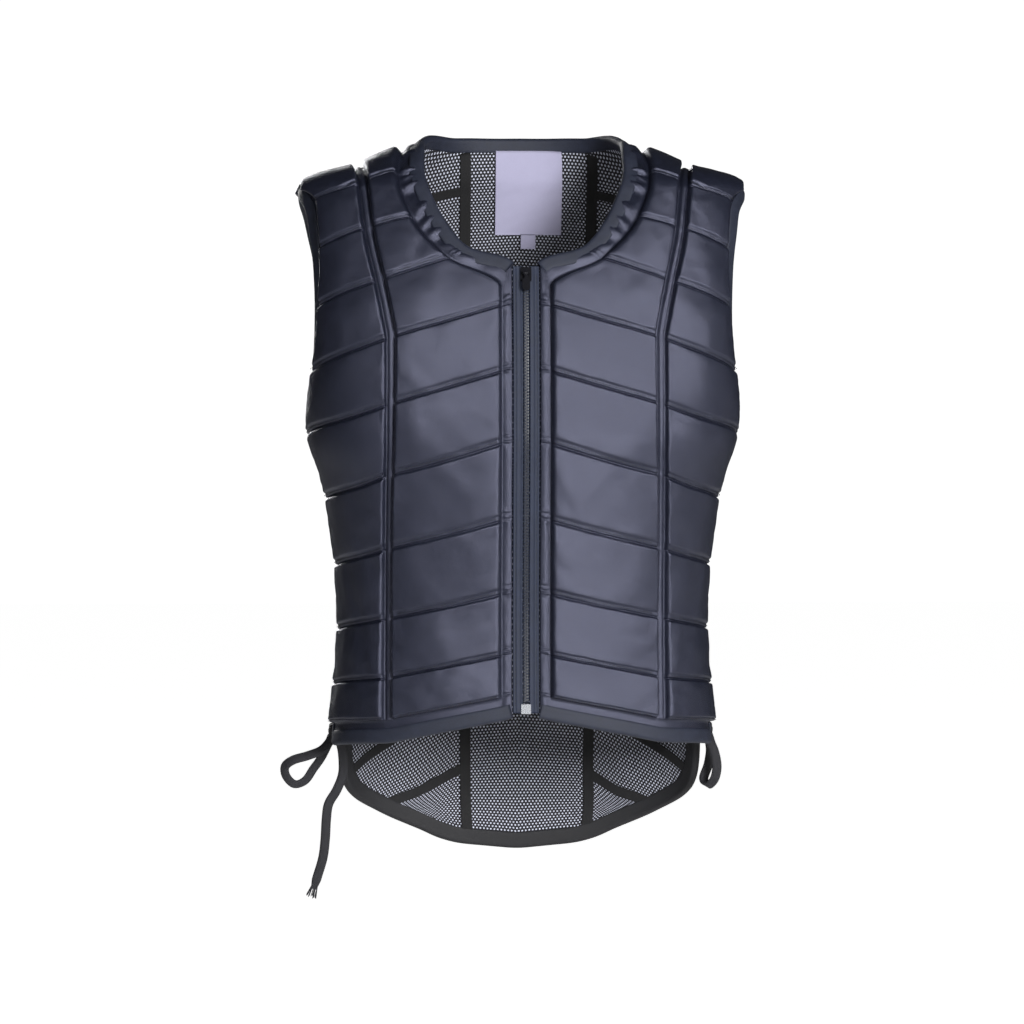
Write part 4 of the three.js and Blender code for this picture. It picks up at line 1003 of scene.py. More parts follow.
@dataclass
class Studio:
    """Camera, lights and floor; places are in metres."""

    height: float = -0.2856
    across: float = -0.0081
    distance: float = 3.0
    azimuth: float = -2.0
    elevation: float = 3.0
    lens: float = 124.07
    floor_level: float = -1.3
    floor_reach: float = 12.0
    backdrop: tuple[float, float] = (0.045, 1.05)
    lamps: tuple[tuple[str, tuple[float, float, float], float, float], ...] = (
        ("key", (0.95, -2.3, 0.25), 0.7, 96),
        ("fill", (-1.0, -2.2, 0.35), 0.8, 12),
        ("side", (1.9, -0.3, -0.6), 0.4, 4),
        ("back", (-0.9, 2.3, 0.5), 1.0, 42),
    )

    def build(self) -> None:
        """Makes the photograph's view, soft light and a pale floor."""
        self.camera()
        self.surround()
        for lamp in self.lamps:
            self.lamp(*lamp)
        self.floor()

    def camera(self) -> None:
        """Sets the camera to the photograph's angle."""
        scene = bpy.context.scene
        camera = bpy.data.cameras.new("camera")
        camera.sensor_width = 36
        camera.lens = self.lens
        camera.clip_end = 50
        holder = bpy.data.objects.new("camera", camera)
        scene.collection.objects.link(holder)
        scene.camera = holder
        turn, rise = math.radians(self.azimuth), math.radians(self.elevation)
        back = Vector((math.sin(turn) * math.cos(rise), -math.cos(turn) * math.cos(rise), math.sin(rise)))
        holder.location = Vector((self.across, 0, self.height)) + back * self.distance
        holder.rotation_mode = "QUATERNION"
        holder.rotation_quaternion = (-back).to_track_quat("-Z", "Y")
        scene.view_settings.view_transform = "Standard"

    def surround(self) -> None:
        """A white backdrop that gives the vest less light than it shows the camera."""
        world = bpy.data.worlds.new("studio")
        world.use_nodes = True
        tree = world.node_tree
        background = tree.nodes["Background"]
        background.inputs[0].default_value = (1, 1, 1, 1)
        path, mix = tree.nodes.new("ShaderNodeLightPath"), tree.nodes.new("ShaderNodeMapRange")
        mix.inputs["To Min"].default_value, mix.inputs["To Max"].default_value = self.backdrop
        tree.links.new(path.outputs["Is Camera Ray"], mix.inputs["Value"])
        tree.links.new(mix.outputs[0], background.inputs[1])
        bpy.context.scene.world = world

    def lamp(self, name: str, place: tuple[float, float, float], size: float, power: float) -> None:
        """A square soft light that looks at the vest.

        Args:
            name: the light's name.
            place: where it stands.
            size: its side.
            power: in watts.
        """
        data = bpy.data.lights.new(name, "AREA")
        data.size = size
        data.energy = power
        obj = bpy.data.objects.new(name, data)
        obj.location = place
        obj.rotation_mode = "QUATERNION"
        obj.rotation_quaternion = (Vector((0, 0, self.height)) - Vector(place)).to_track_quat("-Z", "Y")
        bpy.context.scene.collection.objects.link(obj)

    def floor(self) -> None:
        """A large pale floor well below the vest, which looks white but lights nothing."""
        mesh = bpy.data.meshes.new("floor")
        s, z = self.floor_reach, self.floor_level
        mesh.from_pydata([(-s, -s, z), (s, -s, z), (s, s, z), (-s, s, z)], [], [(0, 1, 2, 3)])
        obj = bpy.data.objects.new("floor", mesh)
        shader = Shader(Finish("floor", (0.9, 0.9, 0.9), 0.9))
        seen = Socket(shader, shader.node("ShaderNodeLightPath").outputs["Is Camera Ray"])
        shader.set("Emission Color", shader.mix(seen, (0, 0, 0), (0.95, 0.95, 0.95)))
        shader.set("Emission Strength", 1.0)
        mesh.materials.append(shader.material)
        bpy.context.scene.collection.objects.link(obj)


def evenly(points: np.ndarray, step: float, ease: int = 0) -> np.ndarray:
    """A line of points at even steps, smoothed while its ends stay.

    Args:
        points: the line.
        step: distance between the new points.
        ease: how many times it is smoothed.

    Returns:
        The new line.
    """
    along = np.concatenate([[0], np.cumsum(np.linalg.norm(np.diff(points, axis=0), axis=1))])
    keep = np.concatenate([[True], np.diff(along) > 1e-6])
    spots = np.linspace(0, along[-1], max(int(round(along[-1] / step)), 2) + 1)
    line = np.stack([np.interp(spots, along[keep], points[keep, k]) for k in range(points.shape[1])], 1)
    for _ in range(ease):
        line[1:-1] = (line[:-2] + 2 * line[1:-1] + line[2:]) / 4
    return line


def averaged(v: np.ndarray, reach: int) -> np.ndarray:
    """Directions averaged with their neighbours.

    Args:
        v: directions along a line.
        reach: how many neighbours count on each side.

    Returns:
        The directions.
    """
    padded = np.concatenate([np.repeat(v[:1], reach, 0), v, np.repeat(v[-1:], reach, 0)])
    total = sum(padded[k : k + len(v)] for k in range(2 * reach + 1))
    return unit(total)


@dataclass
class Sweep:
    """A closed section carried along a line on the torso.

    The section's first number is how far a point lies from the line, the second its height off the torso.
    """

    run: np.ndarray
    inward: Sequence[float]
    section: np.ndarray
    reach: int = 0
    seed: int = 1
    rough: float = 0.0

    def __post_init__(self) -> None:
        """Works out the directions along, across and off the line."""
        self.normal = TORSO_FORM.normals(self.run)
        self.along = unit(np.gradient(self.run, axis=0))
        across = unit(np.cross(self.normal, self.along))
        if across[0] @ np.array(self.inward) < 0:
            across = -across
        self.into = averaged(across, self.reach) if self.reach else across

    def points(self, d: np.ndarray, h: np.ndarray) -> np.ndarray:
        """Points at distances d and heights h, a column for each.

        Args:
            d: distances from the line.
            h: heights off the torso.

        Returns:
            The points, a row for each of the line's.
        """
        flat = self.run[:, None] + self.into[:, None] * d[None, :, None]
        flat = np.where((d > 0)[None, :, None] | (self.reach == 0), TORSO_FORM.settle(flat), flat)
        normal = np.where((d > 0)[None, :, None], TORSO_FORM.normals(flat), self.normal[:, None])
        rise = np.broadcast_to(h, flat.shape[:2])
        if self.rough:
            rise = rise + self.rough * ripples(flat, self.seed, 9) * np.sign(rise - CLOTH / 2)
        return flat + normal * rise[..., None]

    def grid(self) -> np.ndarray:
        """The swept section's points."""
        return self.points(self.section[:, 0], self.section[:, 1])

    def stitches(self, d: float, h: float, pitch: float) -> "Stitches":
        """A row of stitches along the sweep.

        Args:
            d: how far from the line.
            h: how high off the torso.
            pitch: from stitch to stitch.

        Returns:
            The stitches.
        """
        line = evenly(self.points(np.array([d]), np.array([h]))[:, 0], pitch)
        return Stitches(line, unit(np.gradient(line, axis=0)), TORSO_FORM.normals(line))


@dataclass
class Stitches:
    """Places and directions of stitches."""

    spots: np.ndarray
    along: np.ndarray
    normal: np.ndarray

    def mirrored(self) -> "Stitches":
        """The other side's stitches."""
        return Stitches(self.spots * MIRROR, self.along * MIRROR, self.normal * MIRROR)


def seam_stitches(a: np.ndarray, b: np.ndarray, start: float, end: float) -> list[Stitches]:
    """Stitches on the shelf of a seam between two points, on both sides of the vest.

    Args:
        a: the seam's first point.
        b: its last point.
        start: how far from a they begin.
        end: how far from b they stop.

    Returns:
        The stitches and their mirror image.
    """
    way = unit(b - a)
    line = evenly(TORSO_FORM.settle(evenly(np.stack([a + way * start, b - way * end]), 4.0)), 2.9)
    normal = TORSO_FORM.normals(line)
    row = Stitches(line + normal * (CLOTH + 7.1), unit(np.gradient(line, axis=0)), normal)
    return [row, row.mirrored()]


def fold_section(width: float = BINDING) -> np.ndarray:
    """The section of binding round an edge, out along its outer side and back along its inner side.

    Args:
        width: how far the binding reaches from the edge.

    Returns:
        Distances from the edge and heights off the torso, all round.
    """
    thick, play = 1.0, 0.7
    top, bottom = CLOTH + 0.95 + thick / 2, -1.15 - thick / 2
    middle, radius = (top + bottom) / 2, (top - bottom) / 2
    leg = np.array([width, width - 0.5, width - 2, width - 4, width - 6, 1.0])
    dip = np.array([0.45, 0.3, 0.05, 0.0, 0.0, 0.0])
    turn = np.radians(np.linspace(90, 270, 9))
    arc = np.stack([-play + 0.8 * radius * np.cos(turn), middle + radius * np.sin(turn)], 1)
    upper = np.stack([leg, top - dip], 1)
    lower = np.stack([leg[::-1], bottom + 0.4 * dip[::-1]], 1)
    line = np.concatenate([upper, arc, lower])
    slope = unit(np.gradient(line, axis=0))
    side = np.stack([slope[:, 1], -slope[:, 0]], 1) * -1
    half = np.full(len(line), thick / 2)
    half[[0, -1]] *= 0.5
    return np.concatenate([line - side * half[:, None], (line + side * half[:, None])[::-1]])


def band_section(half: float, low: float, high: float, ribs: Sequence[tuple[float, float]] = ()) -> np.ndarray:
    """The section of a flat band, with ribs at given places and heights on its upper side.

    Args:
        half: half its width.
        low: its underside's height off the torso.
        high: its upper side's.
        ribs: places across and heights.

    Returns:
        Distances and heights, all round.
    """
    d = np.linspace(-half, half, max(int(half * 4), 8))
    top = np.full(len(d), high)
    for place, height in ribs:
        top += height * np.exp(-(((d - place) / 0.55) ** 2))
    top[[0, -1]] -= (high - low) * 0.3
    base = np.full(len(d), low)
    base[[0, -1]] += (high - low) * 0.3
    return np.concatenate([np.stack([d, top], 1), np.stack([d[::-1], base[::-1]], 1)])


def catmull(points: np.ndarray, step: float) -> tuple[np.ndarray, np.ndarray]:
    """A smooth line through points, and where along their list each new point lies.

    Args:
        points: the stops.
        step: about how far apart the new points lie.

    Returns:
        The line, and the place of each new point in the list.
    """
    p = np.concatenate([[2 * points[0] - points[1]], points, [2 * points[-1] - points[-2]]])
    line, where = [], []
    for k in range(1, len(p) - 2):
        count = max(int(np.linalg.norm(p[k + 1] - p[k]) / step), 2)
        t = np.linspace(0, 1, count, endpoint=False)[:, None]
        a, b, c, d = p[k - 1], p[k], p[k + 1], p[k + 2]
        square, cube = 2 * a - 5 * b + 4 * c - d, 3 * b - a - 3 * c + d
        line.append(0.5 * (2 * b + (c - a) * t + square * t**2 + cube * t**3))
        where.append(k - 1 + t[:, 0])
    return np.concatenate([*line, points[-1:]]), np.concatenate([*where, [len(points) - 1.0]])


@dataclass
class FlatCord:
    """A flat lace along a line, its wide side held along given directions."""

    points: np.ndarray
    wide: np.ndarray
    width: float = 8.2
    thickness: float = 3.3
    step: float = 1.6

    def __post_init__(self) -> None:
        """Smooths the line and the directions of the lace's wide side."""
        self.line, where = catmull(self.points, self.step)
        wide = np.stack([np.interp(where, np.arange(len(self.wide)), self.wide[:, k]) for k in range(3)], 1)
        self.along = unit(np.gradient(self.line, axis=0))
        self.across = unit(wide - self.along * np.sum(wide * self.along, 1, keepdims=True))

    def grid(self, taper: int = 0) -> np.ndarray:
        """The lace's points; taper narrows that many of its last rings.

        Args:
            taper: how many of the last rings narrow.

        Returns:
            A ring of points for each of the line's.
        """
        turn = np.linspace(0, 2 * np.pi, 14, endpoint=False)
        c, s = np.cos(turn), np.sin(turn)
        a = np.sign(c) * np.abs(c) ** 0.8 * self.width / 2
        b = np.sign(s) * np.abs(s) ** 0.8 * self.thickness / 2
        thin = np.cross(self.along, self.across)
        size = np.ones(len(self.line))
        if taper:
            size[-taper:] = np.linspace(1, 0.6, taper)
        return (
            self.line[:, None]
            + self.across[:, None] * a[None, :, None] * size[:, None, None]
            + thin[:, None] * b[None, :, None] * size[:, None, None]
        )


def copies_group(name: str) -> tuple[bpy.types.NodeTree, dict[str, str]]:
    """A Geometry Nodes group that puts a shape on points, turned by their "turn" attribute.

    Args:
        name: the group's name.

    Returns:
        The group, and its inputs' identifiers by name.
    """
    group = bpy.data.node_groups.new(name, "GeometryNodeTree")
    sockets = {}
    kinds = {"Points": "Geometry", "Shape": "Object", "Material": "Material", "Seed": "Int"}
    for label, kind in kinds.items():
        made = group.interface.new_socket(label, in_out="INPUT", socket_type=f"NodeSocket{kind}")
        sockets[label] = made.identifier
    group.interface.new_socket("Copies", in_out="OUTPUT", socket_type="NodeSocketGeometry")
    start, end, info, named, vary, place, realize, paint = (
        group.nodes.new(kind)
        for kind in (
            "NodeGroupInput",
            "NodeGroupOutput",
            "GeometryNodeObjectInfo",
            "GeometryNodeInputNamedAttribute",
            "FunctionNodeRandomValue",
            "GeometryNodeInstanceOnPoints",
            "GeometryNodeRealizeInstances",
            "GeometryNodeSetMaterial",
        )
    )
    named.data_type = "QUATERNION"
    named.inputs["Name"].default_value = "turn"
    vary.data_type = "FLOAT"
    vary.inputs[2].default_value, vary.inputs[3].default_value = 0.92, 1.08
    for output, into in (
        (start.outputs["Shape"], info.inputs["Object"]),
        (start.outputs["Points"], place.inputs["Points"]),
        (info.outputs["Geometry"], place.inputs["Instance"]),
        (named.outputs["Attribute"], place.inputs["Rotation"]),
        (start.outputs["Seed"], vary.inputs["Seed"]),
        (vary.outputs[1], place.inputs["Scale"]),
        (place.outputs[0], realize.inputs[0]),
        (realize.outputs[0], paint.inputs["Geometry"]),
        (start.outputs["Material"], paint.inputs["Material"]),
        (paint.outputs[0], end.inputs[0]),
    ):
        group.links.new(output, into)
    return group, sockets


def repeated(
    name: str, shape: bpy.types.Object, rows: Sequence[Stitches], material: bpy.types.Material, seed: int
) -> bpy.types.Object:
    """Copies a small shape to many places with Geometry Nodes, as one plain mesh.

    Args:
        name: the new object's name.
        shape: the shape, along X with Z up; it is removed.
        rows: places and directions.
        material: what the copies are made of.
        seed: for the small differences in size.

    Returns:
        The new object.
    """
    spots = np.concatenate([r.spots for r in rows])
    along = unit(np.concatenate([r.along for r in rows]))
    up = np.concatenate([r.normal for r in rows])
    up = unit(up - along * np.sum(up * along, 1, keepdims=True))
    turns = [Matrix(np.stack([a, np.cross(u, a), u], 1).tolist()).to_quaternion() for a, u in zip(along, up)]
    mesh = bpy.data.meshes.new(name)
    mesh.from_pydata((spots * MM).tolist(), [], [])
    turn = mesh.attributes.new("turn", "QUATERNION", "POINT")
    turn.data.foreach_set("value", np.array([list(q) for q in turns], np.float32).ravel())
    source = bpy.data.objects.new(name, mesh)
    bpy.context.scene.collection.objects.link(source)
    group, sockets = copies_group(name)
    modifier = source.modifiers.new("copies", "NODES")
    modifier.node_group = group
    modifier[sockets["Shape"]] = shape
    modifier[sockets["Material"]] = material
    modifier[sockets["Seed"]] = seed
    bpy.context.view_layer.update()
    final = bpy.data.meshes.new_from_object(source.evaluated_get(bpy.context.evaluated_depsgraph_get()))
    source.modifiers.clear()
    source.data = final
    bpy.data.objects.remove(shape)
    return source


def capsule(length: float, radius: float, flat: float = 1.0) -> bpy.types.Object:
    """A short thread along X.

    Args:
        length: from end to end.
        radius: at its middle.
        flat: its height as a share of its width.

    Returns:
        The object.
    """
    maker = MeshMaker()
    s = np.array([0.0, 0.12, 0.35, 0.65, 0.88, 1.0])
    size = radius * np.array([0.35, 0.8, 1.0, 1.0, 0.8, 0.35])
    turn = np.linspace(0, 2 * np.pi, 6, endpoint=False)
    x = np.repeat(((s - 0.5) * length)[:, None], 6, 1)
    grid = np.stack([x, size[:, None] * np.cos(turn), flat * size[:, None] * np.sin(turn)], -1)
    maker.closed(grid)
    return maker.build("thread")


@dataclass
class FrontPanels:
    """The two quilted fronts."""

    tile_rows: int = 10
    seed: int = 11
    edge_samples: int = 8
    inner_length: float = 80.0
    outer_length: float = 55.0
    stitch_row: float = 0.045
    stitch_start: float = 5.5
    stitch_end: float = 12.5
    fill: float = 0.8

    def __post_init__(self) -> None:
        """Makes the seam lines and the panel."""
        self.edge = SeamLine(FRONT_ROWS, 1, Facing.FRONT, ZIP_EDGE)
        self.tile = SeamLine(FRONT_ROWS, 2, Facing.FRONT, FIRST_TILE)
        self.gutter = SeamLine(FRONT_ROWS, 3, Facing.FRONT)
        self.side = SeamLine(FRONT_ROWS, 4, Facing.FRONT)
        self.inner_shares = ramp(self.inner_length, 14)[:-1]
        self.panel = self.shape()

    def strips(self, v: np.ndarray) -> list[Strip]:
        """The runs across the front.

        Args:
            v: row numbers.

        Returns:
            The runs, from the zip to the side.
        """
        edge, tile, gutter, side = (line.at(v) for line in (self.edge, self.tile, self.gutter, self.side))
        g1, g2 = moved(gutter, tile, GUTTER), moved(gutter, side, GUTTER)
        s1 = moved(side, gutter, FLANGE)
        return [
            Strip(edge, tile, np.linspace(0, 1, self.edge_samples)[:-1]),
            Strip(tile, g1, self.inner_shares, (ZIP_WALL, SIDE_WALL)),
            Strip(g1, g2, np.linspace(0, 1, 7)[:-1]),
            Strip(g2, s1, ramp(self.outer_length, 10)[:-1], (SIDE_WALL, SIDE_WALL)),
            Strip(s1, side, np.linspace(0, 1, 7)),
        ]

    def shape(self) -> Panel:
        """The panel with its gathers by the zip and neck, piped gutter and silky folds.

        Returns:
            The panel.
        """
        rows, feet = tile_rows(self.tile_rows, {})
        panel = quilt(self.strips(rows), rows, feet, self.seed)
        v = panel.rows[:, None]
        edge = self.edge_samples - 1
        t = np.linspace(0, 1, self.edge_samples)[None, :-1]
        belly = np.sin(np.pi * np.clip(t, 0, 1))
        near_seam = np.exp(-((((v + 0.5) % 1) - 0.5) / 0.16) ** 2)
        neck = np.clip(NECK_ROW - v, 0, 1)
        folds = np.sin(v * 17 + 2.5 * np.sin(v * 5.3) + t * 2.2)
        gather = 2.4 * neck * folds + 0.9 * near_seam * np.sin(v * 90 + 4 * t) * (1 - neck)
        panel.thick[:, :edge] += belly * (1.2 + gather * 0.8) * (v < self.tile_rows + 0.6)
        start = edge + len(self.inner_shares)
        piping = 2.6 * eased(np.linspace(-0.3, 1, 6), 0.6)[None]
        panel.thick[:, start : start + 6] += piping * (v < self.tile_rows)
        low = np.clip((v - 5.5) / 2, 0, 1) * np.clip((panel.thick - CLOTH) / 6, 0, 1)
        low[:, : panel.thick.shape[1] - 36] = 0
        panel.thick += low * 1.1 * ripples(panel.base * [1.6, 1.6, 0.6], self.seed + 7, 26)
        return panel

    def stitches(self) -> list[Stitches]:
        """Stitches along the seams between rows.

        Returns:
            The stitches of both fronts.
        """
        rows = []
        for r in range(1, self.tile_rows + 1):
            v = np.array([r - self.stitch_row])
            for stops in ((self.tile, self.gutter), (self.gutter, self.side)):
                rows += seam_stitches(*(line.at(v)[0] for line in stops), self.stitch_start, self.stitch_end)
        return rows

    def build(self, finishes: Finishes) -> None:
        """Makes both fronts.

        Args:
            finishes: the vest's materials.
        """
        for side in Side:
            name = side.name.lower()
            obj = shell_mesh(self.panel).build(f"front_{name}", side)
            settle_cloth(obj, self.panel)
            dress(obj, "nylon", [f"front_panel_{name}"], finishes.nylon, finishes.mesh)
            LOG.info("made %s", obj.name)


@dataclass
class BackPanel:
    """The quilted back."""

    tile_rows: int = 11
    seed: int = 31
    yoke: float = 0.29
    half_length: float = 50.0
    stitch_row: float = 0.045
    stitch_start: float = 5.5
    stitch_end: float = 12.5
    fill: float = 0.8

    def __post_init__(self) -> None:
        """Makes the seam lines, and the panel from its +X half."""
        self.centre = SeamLine(BACK_ROWS, 1, Facing.BACK)
        self.gutter = SeamLine(BACK_ROWS, 2, Facing.BACK)
        self.neck = SeamLine(BACK_ROWS, 3, Facing.BACK)
        self.side = SeamLine(BACK_ROWS, 4, Facing.BACK)
        rows, feet = tile_rows(self.tile_rows, {0: (self.yoke, 0.0)})
        half = quilt(self.strips(rows), rows, feet, self.seed)
        self.panel = Panel(
            np.concatenate([half.base[:, :0:-1] * MIRROR, half.base], 1),
            np.concatenate([half.thick[:, :0:-1], half.thick], 1),
            np.concatenate([half.normal[:, :0:-1] * MIRROR, half.normal], 1),
            rows,
        )

    def lines(self, v: np.ndarray) -> list[np.ndarray]:
        """Centre, gutter, neck and side points at rows v."""
        return [line.at(v) for line in (self.centre, self.gutter, self.neck, self.side)]

    def strips(self, v: np.ndarray) -> list[Strip]:
        """The runs across the +X half.

        Args:
            v: row numbers.

        Returns:
            The runs, from the middle to the side.
        """
        centre, gutter, neck, side = self.lines(v)
        g1, g2 = moved(gutter, centre, GUTTER), moved(gutter, neck, GUTTER)
        s1 = moved(side, neck, FLANGE)
        rise = ramp(self.half_length, 9)
        first, last = rise[rise <= 0.5], rise[rise > 0.5]
        rising = np.concatenate([first, np.linspace(0.5, 1, 7)[1:-1]])
        falling = np.concatenate([np.linspace(0, 0.5, 7), last])[:-1]
        return [
            Strip(centre, g1, falling, (0, SIDE_WALL)),
            Strip(g1, g2, np.linspace(0, 1, 7)[:-1]),
            Strip(g2, neck, rising, (SIDE_WALL, 0)),
            Strip(neck, s1, falling, (0, SIDE_WALL)),
            Strip(s1, side, np.linspace(0, 1, 7)),
        ]

    def stitches(self) -> list[Stitches]:
        """Stitches along the seams between rows.

        Returns:
            The stitches of both halves.
        """
        rows = []
        for r in range(1, self.tile_rows + 1):
            centre, gutter, neck, side = (p[0] for p in self.lines(np.array([r - self.stitch_row])))
            rows += seam_stitches(centre, gutter, 0.0, self.stitch_start)
            rows += seam_stitches(gutter, neck, self.stitch_start, 0.0)
            rows += seam_stitches(neck, side, 0.0, self.stitch_end)
        return rows

    def build(self, finishes: Finishes) -> None:
        """Makes the back.

        Args:
            finishes: the vest's materials.
        """
        obj = shell_mesh(self.panel).build("back")
        settle_cloth(obj, self.panel)
        dress(obj, "nylon", ["back_panel"], finishes.nylon, finishes.mesh)
        LOG.info("made %s", obj.name)


@dataclass
class Loop:
    """A lacing loop: its centre and its down, out and along directions."""

    centre: np.ndarray
    down: np.ndarray
    out: np.ndarray
    along: np.ndarray

    @classmethod
    def on(cls, side: SeamLine, low: float, high: float, level: float, away: float) -> Loop:
        """A loop on a side edge.

        Args:
            side: the edge.
            low: the first row that it may lie at.
            high: the last row.
            level: how far down it lies, as a share of the torso.
            away: which way along the torso is off the panel.

        Returns:
            The loop.
        """
        rows = np.linspace(low, high, 2000)
        v = rows[np.argmin(np.abs(side.at(rows)[:, 2] + level * TORSO))]
        before, p, after = side.at(np.array([v - 0.1, v, v + 0.1]))
        down = unit(after - before)
        out = TORSO_FORM.normals(p)
        along = unit(np.cross(out, down))
        along = along * (np.sign(along[1]) * away)
        return cls(p + out * CLOTH / 2 + along * 8.4, down, out, along)

    def grid(self, wide: float, deep: float, section: Sequence[tuple[float, float]]) -> np.ndarray:
        """A sleeve of webbing, rounded at its corners.

        Args:
            wide: half its width.
            deep: half its depth.
            section: insets and heights round its wall.

        Returns:
            The sleeve's points.
        """
        turn = np.linspace(0, 2 * np.pi, 32, endpoint=False)
        c, s = np.cos(turn), np.sin(turn)
        shape = np.stack([np.sign(c) * np.abs(c) ** 0.45, np.sign(s) * np.abs(s) ** 0.45], 1)
        rings = []
        for inset, height in section:
            ring = self.along * shape[:, :1] * (wide - inset) + self.out * shape[:, 1:] * (deep - inset)
            rings.append(self.centre + ring + self.down * height)
        return np.stack(rings)


@dataclass
class Bindings:
    """Edging of the neck, armholes, hems and tail, with the lacing loops on the side edges."""

    front: FrontPanels
    back: BackPanel
    levels: tuple[float, float, int] = (0.425, 0.775, 5)
    step: float = 2.4
    tail_step: float = 2.6
    tail_width: float = 10.5
    loop_width: float = 6.6
    loop_depth: float = 3.45
    loop_section: tuple[tuple[float, float], ...] = (
        (0, -3.4), (0.15, -4), (0.65, -4.1), (1.15, -4), (1.3, -3.4),
        (1.3, 3.4), (1.15, 4), (0.65, 4.1), (0.15, 4), (0, 3.4),
    )
    stitch_inset: float = 6.9
    stitch_height: float = CLOTH + 1.62
    stitch_pitch: float = 3.4

    def __post_init__(self) -> None:
        """Works out the four edges and the places of the loops."""
        front, back = self.front, self.back
        row0 = self.row_line([back.neck.at(0.0), back.gutter.at(0.0), back.centre.at(0.0)])
        neck = self.whole(np.concatenate([front.edge.at(np.linspace(NECK_ROW, 0, 160)), row0]))
        self.neck = Sweep(evenly(neck, self.step, 6), (0, 0, -1), fold_section(), 3, 51, 0.1)
        arm = np.concatenate([front.side.at(np.linspace(5, 0, 160)), back.side.at(np.linspace(0, 4.5, 160))])
        self.arm = Sweep(evenly(arm, self.step, 8), (0, -1, 0), fold_section(), 3, 52, 0.1)
        hem = [line.at(11.0) for line in (front.edge, front.tile, front.gutter, front.side)]
        hem_side = evenly(front.side.at(np.linspace(11, 5, 160)), self.step, 4)[1:]
        hem_line = np.concatenate([evenly(self.row_line(hem), self.step, 4), hem_side])
        self.hem = Sweep(hem_line, (0, 0, 1), fold_section(), 4, 53, 0.12)
        foot = self.row_line([line.at(12.0) for line in (back.side, back.neck, back.gutter, back.centre)])
        tail = self.whole(np.concatenate([back.side.at(np.linspace(4.5, 12, 300)), foot[1:]]))
        section = fold_section(self.tail_width)
        self.tail = Sweep(evenly(tail, self.tail_step, 14), (0, 1, 0), section, 4, 54, 0.1)
        levels = np.linspace(*self.levels)
        self.front_loops = [Loop.on(front.side, 5, 10.6, level, 1) for level in levels]
        self.back_loops = [Loop.on(back.side, 4.6, 8.6, level, -1) for level in levels]

    @staticmethod
    def whole(half: np.ndarray) -> np.ndarray:
        """A line over both halves, from its +X half that ends in the middle."""
        return np.concatenate([half, half[-2::-1] * MIRROR])

    @staticmethod
    def row_line(corners: Sequence[np.ndarray]) -> np.ndarray:
        """A line on the torso through corners."""
        t = np.linspace(0, 1, 24)[:, None]
        return TORSO_FORM.settle(np.concatenate([a + (b - a) * t for a, b in zip(corners, corners[1:])]))

    @staticmethod
    def edging(
        name: str,
        node: str,
        sweep: Sweep,
        material: bpy.types.Material,
        side: Side,
        loops: Sequence[np.ndarray],
    ) -> None:
        """Makes one edging with its loops.

        Args:
            name: the object's name.
            node: the CAD node that it stands for.
            sweep: its line and section.
            material: its material.
            side: RIGHT mirrors it.
            loops: the points of its loops.
        """
        maker = MeshMaker()
        maker.closed(sweep.grid())
        for grid in loops:
            maker.closed(grid, ring=True)
        dress(maker.build(name, side), "edging", [node], material)
        LOG.info("made %s", name)

    def sleeves(self, loops: Sequence[Loop]) -> list[np.ndarray]:
        """The points of some loops' webbing."""
        return [loop.grid(self.loop_width, self.loop_depth, self.loop_section) for loop in loops]

    def build(self, finishes: Finishes) -> None:
        """Makes the bindings.

        Args:
            finishes: the vest's materials.
        """
        self.edging("neck_binding", "neck_binding", self.neck, finishes.edging, Side.LEFT, [])
        hem_loops = self.sleeves(self.front_loops)
        for side in Side:
            name = side.name.lower()
            self.edging(f"armhole_{name}", f"armhole_binding_{name}", self.arm, finishes.edging, side, [])
            self.edging(f"hem_{name}", f"hem_binding_{name}", self.hem, finishes.edging, side, hem_loops)
        pairs = [(grid, grid * MIRROR) for grid in self.sleeves(self.back_loops)]
        tail_loops = [grid for pair in pairs for grid in pair]
        self.edging("tail", "tail_binding", self.tail, finishes.dark_edging, Side.LEFT, tail_loops)

    def stitches(self) -> list[Stitches]:
        """Stitches along the bindings, apart from the tail's.

        Returns:
            The stitches of both sides.
        """
        neck, arm, hem = (
            sweep.stitches(self.stitch_inset, self.stitch_height, self.stitch_pitch)
            for sweep in (self.neck, self.arm, self.hem)
        )
        return [neck, arm, arm.mirrored(), hem, hem.mirrored()]


